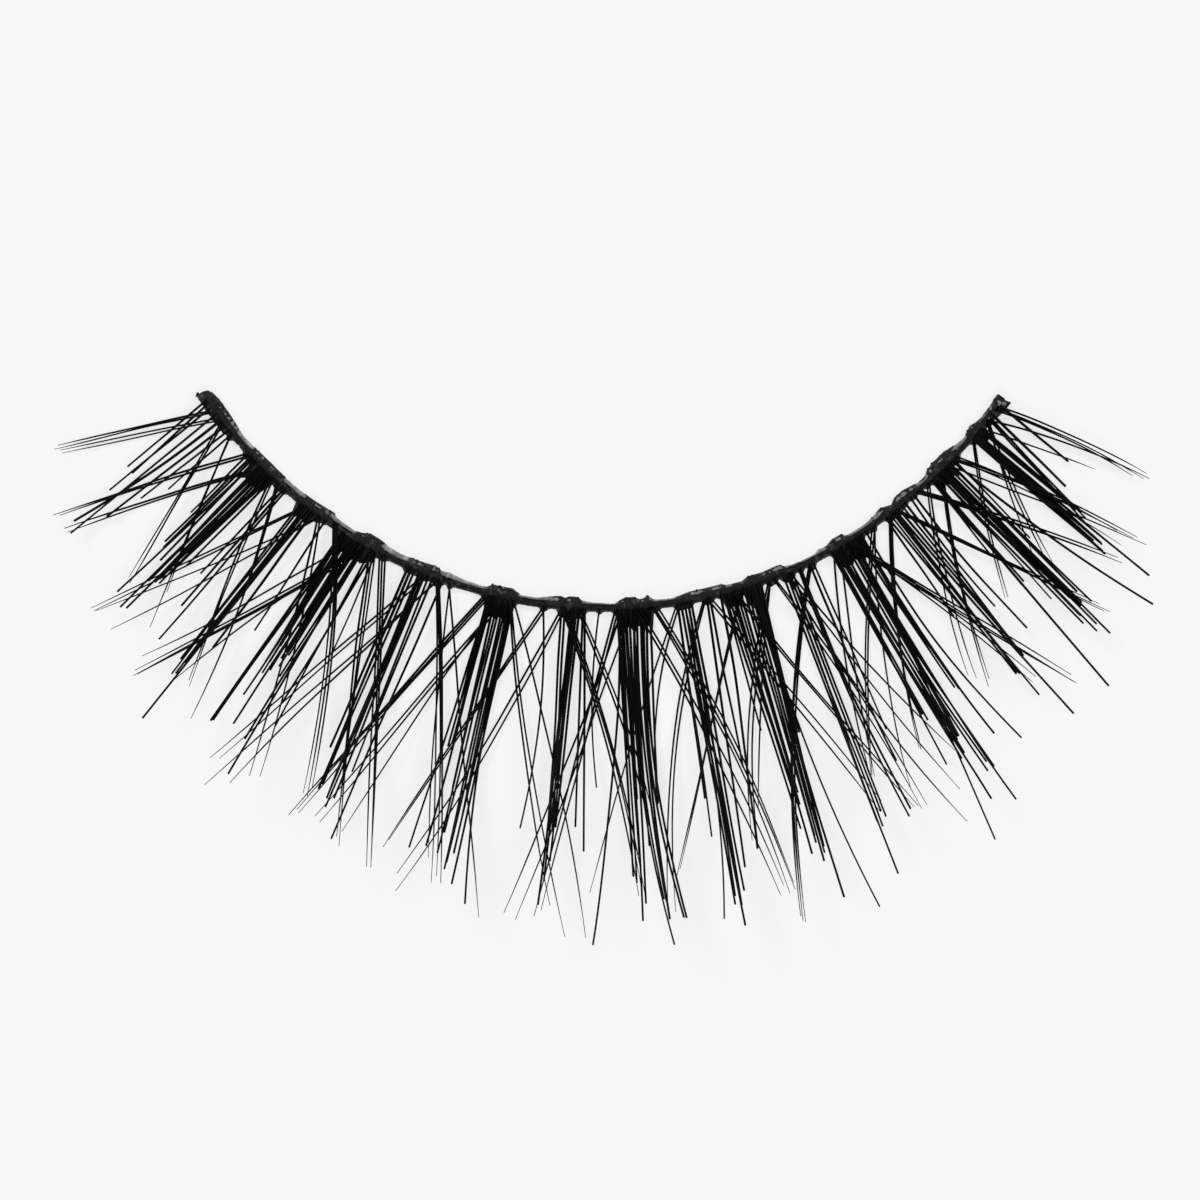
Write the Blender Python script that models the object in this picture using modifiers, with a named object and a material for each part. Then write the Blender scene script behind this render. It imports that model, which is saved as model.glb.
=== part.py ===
# False eyelash strip: a thread band bent to the eyelid, with a line of clear glue
# along its inner side and sixteen tufts of lashes knotted over it.
#
# The strip lies flat. The origin is under the middle of the band, on the surface
# it rests on. +X runs towards the strip's right end, +Z is up, and the lashes
# reach towards -Y with their tips curling up.
# A place along the band is given in percent of its length, from the left end.

from math import ceil, cos, pi, radians, sin, sqrt

import bmesh
import bpy
from mathutils import Vector

# Band
BAND_LENGTH = 0.0330
BAND_RADIUS = 0.0170
BAND_WIDTH = 0.00032
BAND_HEIGHT = 0.00030
BAND_CORNER = 0.00005
BAND_STEPS = 31

# Smallest turn, in degrees, of the edges that are rounded
ROUNDED_FROM = 60

# Gap that two neighbouring pieces keep
PIECE_GAP = 0.00002

# Clear glue along the inner side of the band
GLUE_WIDTH = 0.00012
GLUE_HEIGHT = 0.00010
GLUE_CORNER = 0.00002
GLUE_FROM = 3.0
GLUE_TO = 97.0

# Knotted head of a tuft, a saddle over the band
HEAD_OUTER_WALL = 0.00034
HEAD_INNER_WALL = 0.00012
HEAD_HEIGHT = 0.00060
HEAD_FLOOR_GAP = 0.00002
HEAD_INNER_CORNER = 0.00005

# Lashes
LASH_REACH = 0.0122
LASH_CURL_HEIGHT = 0.0040
LASH_BELLY_AT = 0.0035
LASH_ROOT_LIFT = 0.00008
HAIR_DIAMETER = 0.00011
LOCK_THICKNESS = 0.00010
LOCK_RINGS = 5

# Shortest end piece of a lock past its last ring, as a share of a ring
SHORTEST_END = 0.15

# Share of a hair's diameter by which each further hair widens a lock
HAIR_SPREAD = 0.55

# Share of the width and of the thickness that is left at a lock's tip
BLUNT_TIP = 0.75
FINE_TIP = 0.35

# Outward bow of a wing, as a share of its length
WING_BOW = 0.022

# Layers of the locks, counted from the lowest. The blocks of two neighbouring
# tufts lie in different layers.
LEFT_WING_LAYER = 0
BLOCK_LAYERS = (1, 2)
RIGHT_WING_LAYER = 3

# Step between neighbouring locks of a layer, and the steps in a row before it
# starts again
LOCK_STAGGER = 0.000008
STAGGER_ROW = 3

# Knots of a head from its first to its last section:
# place along the head, and size of its walls, both as shares
HEAD_SECTIONS = (
    (0.00, 0.86),
    (0.20, 1.00),
    (0.50, 0.90),
    (0.80, 1.00),
    (1.00, 0.86),
)

# Each tuft has a head and three sets of locks: a left wing that crosses its left
# neighbour, a block that points straight out, and a right wing.
# Columns of the head: left end, right end, in percent of the band.
# Columns of a lock: root, tip, in percent of the band;
# reach, as a share of LASH_REACH; number of hairs side by side.
TUFTS = (
    {
        "head": (0.1, 5.2),
        "left": ((2.2, -3.6, 0.45, 4),),
        "block": (
            (0.5, 1.5, 0.30, 2),
            (1.3, 1.9, 0.39, 1),
            (2.4, 2.1, 0.52, 2),
            (3.2, 2.8, 0.55, 1),
            (3.7, 3.5, 0.44, 2),
            (4.4, 4.1, 0.33, 1),
            (4.8, 5.0, 0.25, 1),
        ),
        "right": ((3.6, 8.6, 0.53, 2), (4.7, 12.0, 0.57, 2)),
    },
    {
        "head": (7.3, 12.1),
        "left": ((7.8, 1.0, 0.57, 3), (8.5, 2.3, 0.58, 2)),
        "block": (
            (7.6, 7.6, 0.25, 2),
            (8.3, 8.4, 0.37, 2),
            (8.9, 8.7, 0.54, 2),
            (10.1, 10.0, 0.47, 9),
            (9.8, 9.9, 0.59, 2),
            (11.0, 10.9, 0.46, 3),
        ),
        "right": ((11.1, 17.2, 0.64, 3), (11.8, 19.0, 0.70, 2)),
    },
    {
        "head": (12.4, 18.8),
        "left": ((15.0, 8.2, 0.65, 2), (15.6, 10.2, 0.65, 2)),
        "block": (
            (12.7, 12.2, 0.35, 1),
            (13.1, 12.8, 0.46, 1),
            (13.5, 13.2, 0.57, 1),
            (15.9, 15.8, 0.62, 8),
            (16.2, 15.9, 0.78, 1),
            (16.9, 17.0, 0.50, 2),
            (18.4, 18.9, 0.38, 1),
        ),
        "right": ((17.7, 24.6, 0.75, 2),),
    },
    {
        "head": (20.4, 26.4),
        "left": ((21.9, 13.1, 0.64, 2), (22.6, 13.8, 0.71, 3), (23.6, 15.9, 0.65, 1)),
        "block": (
            (20.8, 19.9, 0.70, 2),
            (21.3, 21.2, 0.53, 2),
            (22.1, 21.4, 0.64, 2),
            (22.2, 22.0, 0.45, 9),
            (23.0, 22.4, 0.66, 2),
            (23.5, 23.0, 0.77, 1),
            (24.4, 24.1, 0.57, 2),
            (24.8, 25.6, 0.35, 1),
        ),
        "right": ((20.9, 28.5, 0.74, 3), (24.6, 31.7, 0.82, 3), (26.0, 34.1, 0.88, 3)),
    },
    {
        "head": (28.1, 33.8),
        "left": ((29.3, 21.6, 0.75, 2), (31.2, 22.7, 0.82, 2)),
        "block": (
            (28.4, 28.4, 0.57, 2),
            (29.0, 29.1, 0.70, 2),
            (29.8, 29.8, 0.74, 3),
            (30.7, 30.5, 0.74, 3),
            (31.4, 31.0, 0.45, 2),
            (32.7, 31.1, 0.82, 2),
        ),
        "right": ((32.0, 37.7, 0.79, 1), (32.5, 38.6, 0.89, 3), (33.4, 39.7, 0.74, 1)),
    },
    {
        "head": (36.9, 41.4),
        "left": ((37.4, 28.2, 0.80, 4), (38.8, 29.9, 0.80, 2), (39.2, 31.7, 0.79, 2)),
        "block": (
            (37.2, 36.5, 0.77, 1),
            (37.6, 37.1, 0.48, 2),
            (38.2, 37.6, 0.75, 2),
            (38.9, 38.3, 0.76, 3),
            (39.7, 39.1, 0.81, 3),
            (40.5, 39.8, 0.85, 2),
        ),
        "right": ((38.7, 41.4, 0.91, 2), (40.0, 46.6, 0.88, 3), (41.0, 48.2, 0.96, 2)),
    },
    {
        "head": (43.1, 49.8),
        "left": ((43.8, 34.8, 0.82, 3), (45.3, 36.1, 0.89, 3)),
        "block": (
            (43.4, 43.9, 0.66, 1),
            (45.5, 45.5, 0.66, 2),
            (46.8, 46.3, 0.80, 6),
            (46.8, 46.1, 0.87, 2),
            (47.7, 47.9, 0.64, 1),
            (49.1, 48.6, 0.71, 1),
            (49.5, 49.4, 0.53, 1),
        ),
        "right": ((45.9, 52.6, 0.86, 3), (47.7, 53.6, 0.66, 2)),
    },
    {
        "head": (51.1, 56.1),
        "left": ((51.6, 44.0, 0.92, 3), (52.2, 45.6, 0.93, 3)),
        "block": (
            (51.4, 49.2, 0.98, 1),
            (51.9, 51.9, 0.80, 2),
            (52.5, 52.5, 0.58, 2),
            (53.1, 52.9, 0.91, 2),
            (53.7, 53.4, 0.70, 2),
            (54.3, 54.0, 0.88, 2),
            (54.9, 54.5, 0.98, 1),
            (55.4, 55.2, 0.91, 2),
        ),
        "right": ((55.0, 61.7, 0.89, 3), (55.7, 62.5, 0.89, 3)),
    },
    {
        "head": (57.3, 62.5),
        "left": ((57.8, 49.0, 0.84, 2), (60.8, 54.5, 0.88, 2)),
        "block": (
            (57.7, 57.2, 0.65, 2),
            (58.4, 57.8, 0.93, 1),
            (58.9, 59.0, 0.86, 6),
            (59.0, 58.9, 0.95, 1),
            (60.8, 59.9, 0.79, 2),
            (61.5, 60.7, 0.51, 2),
            (62.1, 61.3, 0.74, 1),
        ),
        "right": ((61.0, 68.8, 0.74, 2),),
    },
    {
        "head": (62.6, 64.9),
        "left": ((63.8, 55.3, 0.80, 2),),
        "block": ((63.0, 63.0, 0.42, 1), (63.7, 64.2, 0.80, 6), (63.9, 64.5, 0.85, 3)),
        "right": ((64.2, 69.6, 0.75, 2), (64.5, 71.9, 0.77, 2)),
    },
    {
        "head": (65.0, 68.7),
        "left": ((68.2, 60.9, 0.72, 3),),
        "block": (
            (66.1, 65.3, 0.80, 7),
            (65.9, 65.4, 0.94, 2),
            (66.3, 65.8, 0.47, 2),
            (66.5, 67.4, 1.00, 1),
        ),
        "right": ((68.3, 72.6, 0.79, 2),),
    },
    {
        "head": (69.0, 73.1),
        "left": ((72.6, 62.6, 1.00, 3),),
        "block": (
            (69.9, 69.5, 0.77, 6),
            (69.7, 69.2, 0.93, 2),
            (71.4, 71.5, 0.81, 3),
            (72.7, 72.2, 0.63, 1),
        ),
        "right": ((69.8, 74.9, 0.83, 2), (70.4, 76.3, 0.68, 1)),
    },
    {
        "head": (75.0, 80.6),
        "left": ((75.7, 69.6, 0.65, 2), (79.6, 70.6, 0.65, 2), (80.2, 72.3, 0.72, 1)),
        "block": (
            (75.3, 75.2, 0.70, 1),
            (75.6, 75.7, 0.57, 2),
            (76.8, 76.6, 0.68, 8),
            (76.3, 75.8, 0.96, 1),
            (76.6, 76.8, 0.85, 2),
            (77.1, 77.7, 0.78, 3),
            (77.4, 78.2, 0.89, 2),
            (78.3, 78.9, 0.54, 4),
            (78.5, 79.4, 0.70, 1),
            (78.8, 80.7, 0.75, 1),
        ),
        "right": ((76.4, 84.0, 0.65, 2), (76.9, 86.1, 0.74, 2)),
    },
    {
        "head": (81.6, 86.5),
        "left": ((82.5, 74.2, 0.65, 4),),
        "block": (
            (82.0, 81.8, 0.35, 1),
            (82.7, 83.2, 0.60, 4),
            (83.2, 83.8, 0.68, 1),
            (84.2, 84.2, 0.57, 3),
            (84.6, 84.8, 0.78, 1),
            (85.3, 85.1, 0.40, 1),
            (85.7, 85.9, 0.51, 1),
        ),
        "right": ((83.3, 91.3, 0.65, 4), (86.0, 94.6, 0.58, 3)),
    },
    {
        "head": (87.4, 92.4),
        "left": ((87.9, 80.2, 0.54, 2), (90.0, 81.0, 0.58, 2)),
        "block": (
            (88.1, 87.7, 0.28, 1),
            (88.5, 88.2, 0.41, 3),
            (88.6, 87.9, 0.78, 2),
            (89.1, 88.8, 0.49, 1),
            (89.5, 89.4, 0.61, 3),
            (90.1, 90.1, 0.66, 6),
            (90.9, 90.9, 0.55, 3),
            (91.2, 91.5, 0.32, 1),
            (91.6, 93.8, 0.71, 1),
        ),
        "right": ((91.0, 95.6, 0.55, 1), (91.9, 96.9, 0.59, 3)),
    },
    {
        "head": (94.0, 99.4),
        "left": ((94.5, 86.2, 0.42, 2), (97.3, 90.5, 0.42, 3)),
        "block": (
            (94.9, 94.6, 0.52, 7),
            (95.2, 95.2, 0.65, 2),
            (95.8, 95.7, 0.38, 4),
            (97.2, 96.2, 0.41, 2),
            (97.9, 97.0, 0.30, 2),
            (98.8, 98.5, 0.26, 2),
        ),
        "right": ((95.9, 99.3, 0.33, 2), (97.6, 100.7, 0.45, 2), (98.9, 101.2, 0.49, 3)),
    },
)

# Sizes that follow from the driving ones
HALF_ANGLE = BAND_LENGTH / BAND_RADIUS / 2
LAYER_STEP = LOCK_THICKNESS + LOCK_STAGGER * (STAGGER_ROW - 1) + PIECE_GAP / 2
CHANNEL_HALF_WIDTH = BAND_WIDTH / 2 + PIECE_GAP
CHANNEL_HEIGHT = BAND_HEIGHT + PIECE_GAP
LIP_HEIGHT = GLUE_HEIGHT + PIECE_GAP
RING_STEP = LASH_REACH / LOCK_RINGS


def clear_scene():
    for obj in list(bpy.data.objects):
        bpy.data.objects.remove(obj, do_unlink=True)


def make_collection(name):
    collection = bpy.data.collections.new(name)
    bpy.context.scene.collection.children.link(collection)
    return collection


def make_material(name, colour, roughness):
    material = bpy.data.materials.new(name)
    material.use_nodes = True
    shader = material.node_tree.nodes["Principled BSDF"]
    shader.inputs["Base Color"].default_value = (*colour, 1.0)
    shader.inputs["Roughness"].default_value = roughness
    shader.inputs["Metallic"].default_value = 0.0
    return material


def add_object(name, bm, collection, material):
    bmesh.ops.recalc_face_normals(bm, faces=bm.faces)
    mesh = bpy.data.meshes.new(name)
    bm.to_mesh(mesh)
    bm.free()
    mesh.materials.append(material)
    obj = bpy.data.objects.new(name, mesh)
    collection.objects.link(obj)
    return obj


def band_point(percent, outward, height):
    """Point at a place along the band, a distance outward from its middle line."""
    angle = (percent / 50 - 1) * HALF_ANGLE
    radius = BAND_RADIUS + outward
    return Vector((radius * sin(angle), BAND_RADIUS - radius * cos(angle), height))


def distance_from_band(x, y):
    return Vector((x, y - BAND_RADIUS)).length - BAND_RADIUS


def arc_bar(name, ends, outward, height, corner, collection, material):
    """Bar of rectangular section along the arc, with its edges rounded."""
    bm = bmesh.new()
    first, last = ends
    near, far = outward
    corners = ((near, 0.0), (far, 0.0), (far, height), (near, height))
    face = bm.faces.new([bm.verts.new(band_point(first, d, z)) for d, z in corners])
    turn = (last - first) / 50 * HALF_ANGLE
    bmesh.ops.spin(
        bm,
        geom=[face, *face.edges, *face.verts],
        cent=(0.0, BAND_RADIUS, 0.0),
        axis=(0.0, 0.0, 1.0),
        angle=turn,
        steps=BAND_STEPS,
        use_duplicate=False,
    )
    bar = add_object(name, bm, collection, material)
    bevel = bar.modifiers.new("rounded_edges", "BEVEL")
    bevel.width = corner
    bevel.segments = 1
    bevel.limit_method = "ANGLE"
    bevel.angle_limit = radians(ROUNDED_FROM)
    return bar


def loft(bm, rings):
    """Closed skin over a row of rings that have the same number of points."""
    rows = [[bm.verts.new(point) for point in ring] for ring in rings]
    for ring, following in zip(rows, rows[1:]):
        for i in range(len(ring)):
            j = (i + 1) % len(ring)
            bm.faces.new((ring[i], ring[j], following[j], following[i]))
    bm.faces.new(rows[0])
    bm.faces.new(reversed(rows[-1]))


def head_section(size):
    """Outline of a head over the band, as (outward, height) pairs."""
    outer = CHANNEL_HALF_WIDTH + HEAD_OUTER_WALL * size
    inner = CHANNEL_HALF_WIDTH + HEAD_INNER_WALL * size
    top = CHANNEL_HEIGHT + (HEAD_HEIGHT - CHANNEL_HEIGHT) * size
    shoulder = (CHANNEL_HEIGHT + top) / 2
    return (
        (CHANNEL_HALF_WIDTH, HEAD_FLOOR_GAP),
        ((CHANNEL_HALF_WIDTH + outer) / 2, HEAD_FLOOR_GAP),
        (outer, CHANNEL_HEIGHT / 2),
        (outer, shoulder),
        (CHANNEL_HALF_WIDTH, top),
        (-CHANNEL_HALF_WIDTH, top),
        (-inner, shoulder),
        (-inner, LIP_HEIGHT + HEAD_INNER_CORNER),
        (-(CHANNEL_HALF_WIDTH + inner) / 2, LIP_HEIGHT),
        (-CHANNEL_HALF_WIDTH, LIP_HEIGHT),
        (-CHANNEL_HALF_WIDTH, CHANNEL_HEIGHT),
        (CHANNEL_HALF_WIDTH, CHANNEL_HEIGHT),
    )


def make_head(name, ends, collection, material):
    bm = bmesh.new()
    rings = []
    for place, size in HEAD_SECTIONS:
        percent = ends[0] + (ends[1] - ends[0]) * place
        rings.append([band_point(percent, d, z) for d, z in head_section(size)])
    loft(bm, rings)
    return add_object(name, bm, collection, material)


def curl_height(outward):
    """Rise of the lashes above the surface: down to the belly, then up to the tip."""
    if outward < LASH_BELLY_AT:
        return LASH_ROOT_LIFT * (1 - outward / LASH_BELLY_AT) ** 2
    curl = (outward - LASH_BELLY_AT) / (LASH_REACH - LASH_BELLY_AT)
    return LASH_CURL_HEIGHT * curl**2


def lock_height(outward):
    """Middle height of the lowest locks, straight between one ring and the next."""
    ring = min(int(outward / RING_STEP), LOCK_RINGS)
    share = outward / RING_STEP - ring
    rise = curl_height(RING_STEP * ring) * (1 - share)
    rise += curl_height(RING_STEP * (ring + 1)) * share
    return LOCK_THICKNESS / 2 + rise


def share_at_ring(start, run, outward):
    """Share of a straight run from start at which it is a distance from the band."""
    from_centre = start - Vector((0.0, BAND_RADIUS, 0.0))
    half_b = from_centre.dot(run)
    inside = from_centre.length_squared - (BAND_RADIUS + outward) ** 2
    return (sqrt(half_b**2 - run.length_squared * inside) - half_b) / run.length_squared


def lock_path(lock, bow, lift):
    """Middle line of a lock, from inside its head to its tip.

    All locks bend on the same rings round the band, so a set of locks lies in one
    layer and passes clear of the sets above and below it.
    """
    root, tip, reach, _hairs = lock
    start = band_point(root, CHANNEL_HALF_WIDTH + HEAD_OUTER_WALL / 2, 0.0)
    run = band_point(tip, LASH_REACH * reach, 0.0) - start
    side = Vector((-run.y, run.x, 0.0)) * bow
    rings_crossed = ceil(LOCK_RINGS * reach - SHORTEST_END)
    shares = [share_at_ring(start, run, RING_STEP * i) for i in range(1, rings_crossed)]
    path = []
    for share in (0.0, *shares, 1.0):
        point = start + run * share + side * sin(pi * share)
        outward = distance_from_band(point.x, point.y)
        point.z = lock_height(outward) + lift
        path.append(point)
    return path


def add_lock(bm, lock, tip_share, bow, lift):
    """Tapering strip of hairs with a lens-shaped section."""
    path = lock_path(lock, bow, lift)
    width = HAIR_DIAMETER * (1 + HAIR_SPREAD * (lock[3] - 1))
    rings = []
    for i, point in enumerate(path):
        taper = 1 - (1 - tip_share) * i / (len(path) - 1)
        along = path[min(i + 1, len(path) - 1)] - path[max(i - 1, 0)]
        side = along.cross(Vector((0.0, 0.0, 1.0))).normalized()
        up = side.cross(along).normalized()
        across = side * width / 2 * taper
        thick = up * LOCK_THICKNESS / 2 * taper
        rings.append((point + across, point + thick, point - across, point - thick))
    loft(bm, rings)


def make_locks(name, tuft, block_layer, collection, material):
    """All locks of one tuft: left wing lowest, right wing highest."""
    sets = (
        (tuft["left"], FINE_TIP, -WING_BOW, LEFT_WING_LAYER),
        (tuft["block"], BLUNT_TIP, 0.0, block_layer),
        (tuft["right"], FINE_TIP, WING_BOW, RIGHT_WING_LAYER),
    )
    bm = bmesh.new()
    for locks_of_set, tip_share, bow, layer in sets:
        for i, lock in enumerate(locks_of_set):
            lift = LAYER_STEP * layer + LOCK_STAGGER * (i % STAGGER_ROW)
            add_lock(bm, lock, tip_share, bow, lift)
    locks = add_object(name, bm, collection, material)
    locks.hide_render = True
    locks.display_type = "WIRE"
    return locks


def shells(bm):
    """Faces of a mesh, grouped by the closed skin that they belong to."""
    found = []
    left = set(bm.faces)
    while left:
        skin = {left.pop()}
        edge_of_skin = list(skin)
        while edge_of_skin:
            face = edge_of_skin.pop()
            for edge in face.edges:
                for neighbour in edge.link_faces:
                    if neighbour in left:
                        left.remove(neighbour)
                        skin.add(neighbour)
                        edge_of_skin.append(neighbour)
        found.append(skin)
    return found


def enclosed_volume(skin):
    """Volume inside a closed skin, negative where the skin faces inwards."""
    volume = 0.0
    for face in skin:
        first, *others = [loop.vert.co for loop in face.loops]
        for second, third in zip(others, others[1:]):
            volume += first.dot(second.cross(third)) / 6
    return volume


def close_air_pockets(mesh):
    """Fill the specks of air that are shut in between crossing hairs."""
    bm = bmesh.new()
    bm.from_mesh(mesh)
    for skin in shells(bm):
        if enclosed_volume(skin) < 0:
            bmesh.ops.delete(bm, geom=list(skin), context="FACES")
    bm.to_mesh(mesh)
    bm.free()


def make_tuft(number, tuft, parts, guides, material):
    """Head and locks of a tuft, fused into one piece."""
    name = f"tuft_{number:02d}"
    head = make_head(name, tuft["head"], parts, material)
    block_layer = BLOCK_LAYERS[number % len(BLOCK_LAYERS)]
    locks = make_locks(name + "_locks", tuft, block_layer, guides, material)
    union = head.modifiers.new("locks", "BOOLEAN")
    union.operation = "UNION"
    union.solver = "EXACT"
    union.use_self = True
    union.object = locks
    bpy.context.view_layer.update()
    depsgraph = bpy.context.evaluated_depsgraph_get()
    fused = bpy.data.meshes.new_from_object(head.evaluated_get(depsgraph))
    close_air_pockets(fused)
    head.modifiers.remove(union)
    head.data = fused
    bpy.data.objects.remove(locks, do_unlink=True)
    return head


def main():
    clear_scene()
    parts = make_collection("false_eyelash_strip")
    guides = make_collection("lock_guides")
    thread = make_material("lash_band", (0.014, 0.012, 0.013), 0.55)
    hair = make_material("lash_hair", (0.010, 0.008, 0.008), 0.35)
    glue = make_material("clear_glue", (0.32, 0.32, 0.33), 0.25)

    half = BAND_WIDTH / 2
    arc_bar("band", (0.0, 100.0), (-half, half), BAND_HEIGHT, BAND_CORNER, parts, thread)
    glue_edge = -half - PIECE_GAP
    glue_walls = (glue_edge - GLUE_WIDTH, glue_edge)
    glue_ends = (GLUE_FROM, GLUE_TO)
    arc_bar("glue_line", glue_ends, glue_walls, GLUE_HEIGHT, GLUE_CORNER, parts, glue)
    for number, tuft in enumerate(TUFTS, start=1):
        make_tuft(number, tuft, parts, guides, hair)


main()
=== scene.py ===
import math
import random

import bpy
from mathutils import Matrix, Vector, noise


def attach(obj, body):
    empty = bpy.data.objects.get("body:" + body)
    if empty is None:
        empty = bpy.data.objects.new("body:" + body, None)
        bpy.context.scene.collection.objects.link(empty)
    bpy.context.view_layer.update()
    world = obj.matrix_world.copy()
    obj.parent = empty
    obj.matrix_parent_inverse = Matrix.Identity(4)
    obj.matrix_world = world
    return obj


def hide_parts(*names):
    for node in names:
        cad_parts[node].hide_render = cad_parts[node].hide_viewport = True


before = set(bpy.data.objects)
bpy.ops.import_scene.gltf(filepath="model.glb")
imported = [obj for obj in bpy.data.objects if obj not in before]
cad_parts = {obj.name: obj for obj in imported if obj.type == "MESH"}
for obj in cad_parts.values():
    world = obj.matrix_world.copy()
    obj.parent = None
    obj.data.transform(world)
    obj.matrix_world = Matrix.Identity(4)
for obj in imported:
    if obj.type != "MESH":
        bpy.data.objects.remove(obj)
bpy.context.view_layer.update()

mm = 0.001               # the scene's own unit is the metre
body = "root"

# The strip's own layout: places along the band are percent of its length,
# distances from the band's middle line and heights are millimetres
strip = {
    "bandLength": 33.0,
    "bandRadius": 17.0,
    "lashReach": 12.2,       # longest lash
    "curlHeight": 4.0,       # rise of the longest tip
    "bellyAt": 3.5,          # where the lashes lie lowest
    "rootLift": 0.08,        # how much higher they leave the band
}
halfAngle = strip["bandLength"] / strip["bandRadius"] / 2
mmPerPercent = strip["bandLength"] / 100


def bandPoint(percent, outward, height):
    angle = (percent / 50 - 1) * halfAngle
    radius = strip["bandRadius"] + outward
    x = radius * math.sin(angle)
    y = strip["bandRadius"] - radius * math.cos(angle)
    return Vector((x, y, height))


def outwardOf(point):
    return math.hypot(point.x, point.y - strip["bandRadius"]) - strip["bandRadius"]


def curlHeight(outward):
    if outward < strip["bellyAt"]:
        return strip["rootLift"] * (1 - max(outward, 0.0) / strip["bellyAt"]) ** 2
    curl = (outward - strip["bellyAt"]) / (strip["lashReach"] - strip["bellyAt"])
    return strip["curlHeight"] * curl ** 2


def smooth(a, b, x):
    t = min(max((x - a) / (b - a), 0.0), 1.0)
    return t * t * (3 - 2 * t)


def spanAt(value, share):
    # a chart entry is one number, or a (from, to) pair for a row of hairs
    if isinstance(value, tuple):
        return value[0] + (value[1] - value[0]) * share
    return value


def readOff(pairs, place):
    # straight lines between the entries of a list that is sorted by place
    if place <= pairs[0][0]:
        return pairs[0][1:]
    for before, after in zip(pairs, pairs[1:]):
        if place <= after[0]:
            share = (place - before[0]) / (after[0] - before[0])
            return tuple(a + (b - a) * share for a, b in zip(before[1:], after[1:]))
    return pairs[-1][1:]


def alongNoise(percent, scale, row, layer=0.0):
    # slow noise along the band; row and layer give each use a stretch of its own
    return noise.noise(Vector((percent * scale, row, layer)))


def lumpsAt(point, lumps):
    return sum(height * noise.noise(point * scale) for scale, height in lumps)


# Meshes

def ringQuads(base, count, sides):
    # faces between rings of points, from each ring to the next
    quads = []
    for i in range(count - 1):
        for k in range(sides):
            a = base + i * sides + k
            b = base + i * sides + (k + 1) % sides
            quads.append((a, a + sides, b + sides, b))
    return quads


def ringCaps(base, count, sides):
    # faces over the first ring and over the last
    first = range(base, base + sides)
    last = range(base + (count - 1) * sides, base + count * sides)
    return [tuple(first), tuple(reversed(last))]


def addPiece(name, verts, faces, uvs, material, tones=None):
    mesh = bpy.data.meshes.new(name)
    mesh.from_pydata([v * mm for v in verts], [], faces)
    layer = mesh.uv_layers.new(name="UVMap")
    for loop in mesh.loops:
        layer.data[loop.index].uv = uvs[loop.vertex_index]
    if tones:
        layer = mesh.attributes.new("hairTone", "FLOAT", "POINT")
        layer.data.foreach_set("value", tones)
    mesh.materials.append(material)
    mesh.shade_smooth()
    mesh.update()
    piece = bpy.data.objects.new(name, mesh)
    bpy.context.scene.collection.objects.link(piece)
    return piece


# Shared shader groups: streaks along a fibre, and dried glue over it

def newGroup(name, inputs, outputs):
    group = bpy.data.node_groups.new(name, "ShaderNodeTree")
    for label, kind, value in inputs:
        socket = group.interface.new_socket(label, in_out="INPUT", socket_type=kind)
        socket.default_value = value
    for label, kind in outputs:
        group.interface.new_socket(label, in_out="OUTPUT", socket_type=kind)
    start = group.nodes.new("NodeGroupInput")
    end = group.nodes.new("NodeGroupOutput")
    return group, start, end


def addNode(tree, kind, settings=None, **inputs):
    node = tree.nodes.new(kind)
    for key, value in (settings or {}).items():
        setattr(node, key, value)
    for key, value in inputs.items():
        node.inputs[key.replace("_", " ")].default_value = value
    return node


def mathNode(tree, operation, a, b):
    node = tree.nodes.new("ShaderNodeMath")
    node.operation = operation
    for socket, value in zip(node.inputs, (a, b)):
        if isinstance(value, (int, float)):
            socket.default_value = value
        else:
            tree.links.new(value, socket)
    return node.outputs[0]


def buildFibreStreaks():
    # long thin streaks that run with a hair or thread: U is around it, V along it in mm
    group, start, end = newGroup(
        "fibreStreaks",
        [
            ("Around Scale", "NodeSocketFloat", 6.0),
            ("Along Scale", "NodeSocketFloat", 0.6),
            ("Contrast", "NodeSocketFloat", 0.5),
        ],
        [("Streak", "NodeSocketFloat"), ("Patch", "NodeSocketFloat")],
    )
    middle = 0.5             # grey that the streaks vary about
    uv = addNode(group, "ShaderNodeUVMap", {"uv_map": "UVMap"})
    split = addNode(group, "ShaderNodeSeparateXYZ")
    group.links.new(uv.outputs["UV"], split.inputs[0])
    joined = addNode(group, "ShaderNodeCombineXYZ")
    around = mathNode(group, "MULTIPLY", split.outputs["X"], start.outputs["Around Scale"])
    along = mathNode(group, "MULTIPLY", split.outputs["Y"], start.outputs["Along Scale"])
    group.links.new(around, joined.inputs["X"])
    group.links.new(along, joined.inputs["Y"])
    fine = addNode(group, "ShaderNodeTexNoise", None, Scale=1.0, Detail=4.0, Roughness=0.6)
    group.links.new(joined.outputs[0], fine.inputs["Vector"])
    wide = addNode(group, "ShaderNodeTexNoise", None, Scale=0.35, Detail=2.0)
    group.links.new(joined.outputs[0], wide.inputs["Vector"])
    for source, label in ((fine, "Streak"), (wide, "Patch")):
        centred = mathNode(group, "SUBTRACT", source.outputs["Fac"], middle)
        spread = mathNode(group, "MULTIPLY", centred, start.outputs["Contrast"])
        raised = mathNode(group, "ADD", spread, middle)
        group.links.new(raised, end.inputs[label])
    return group


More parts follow.
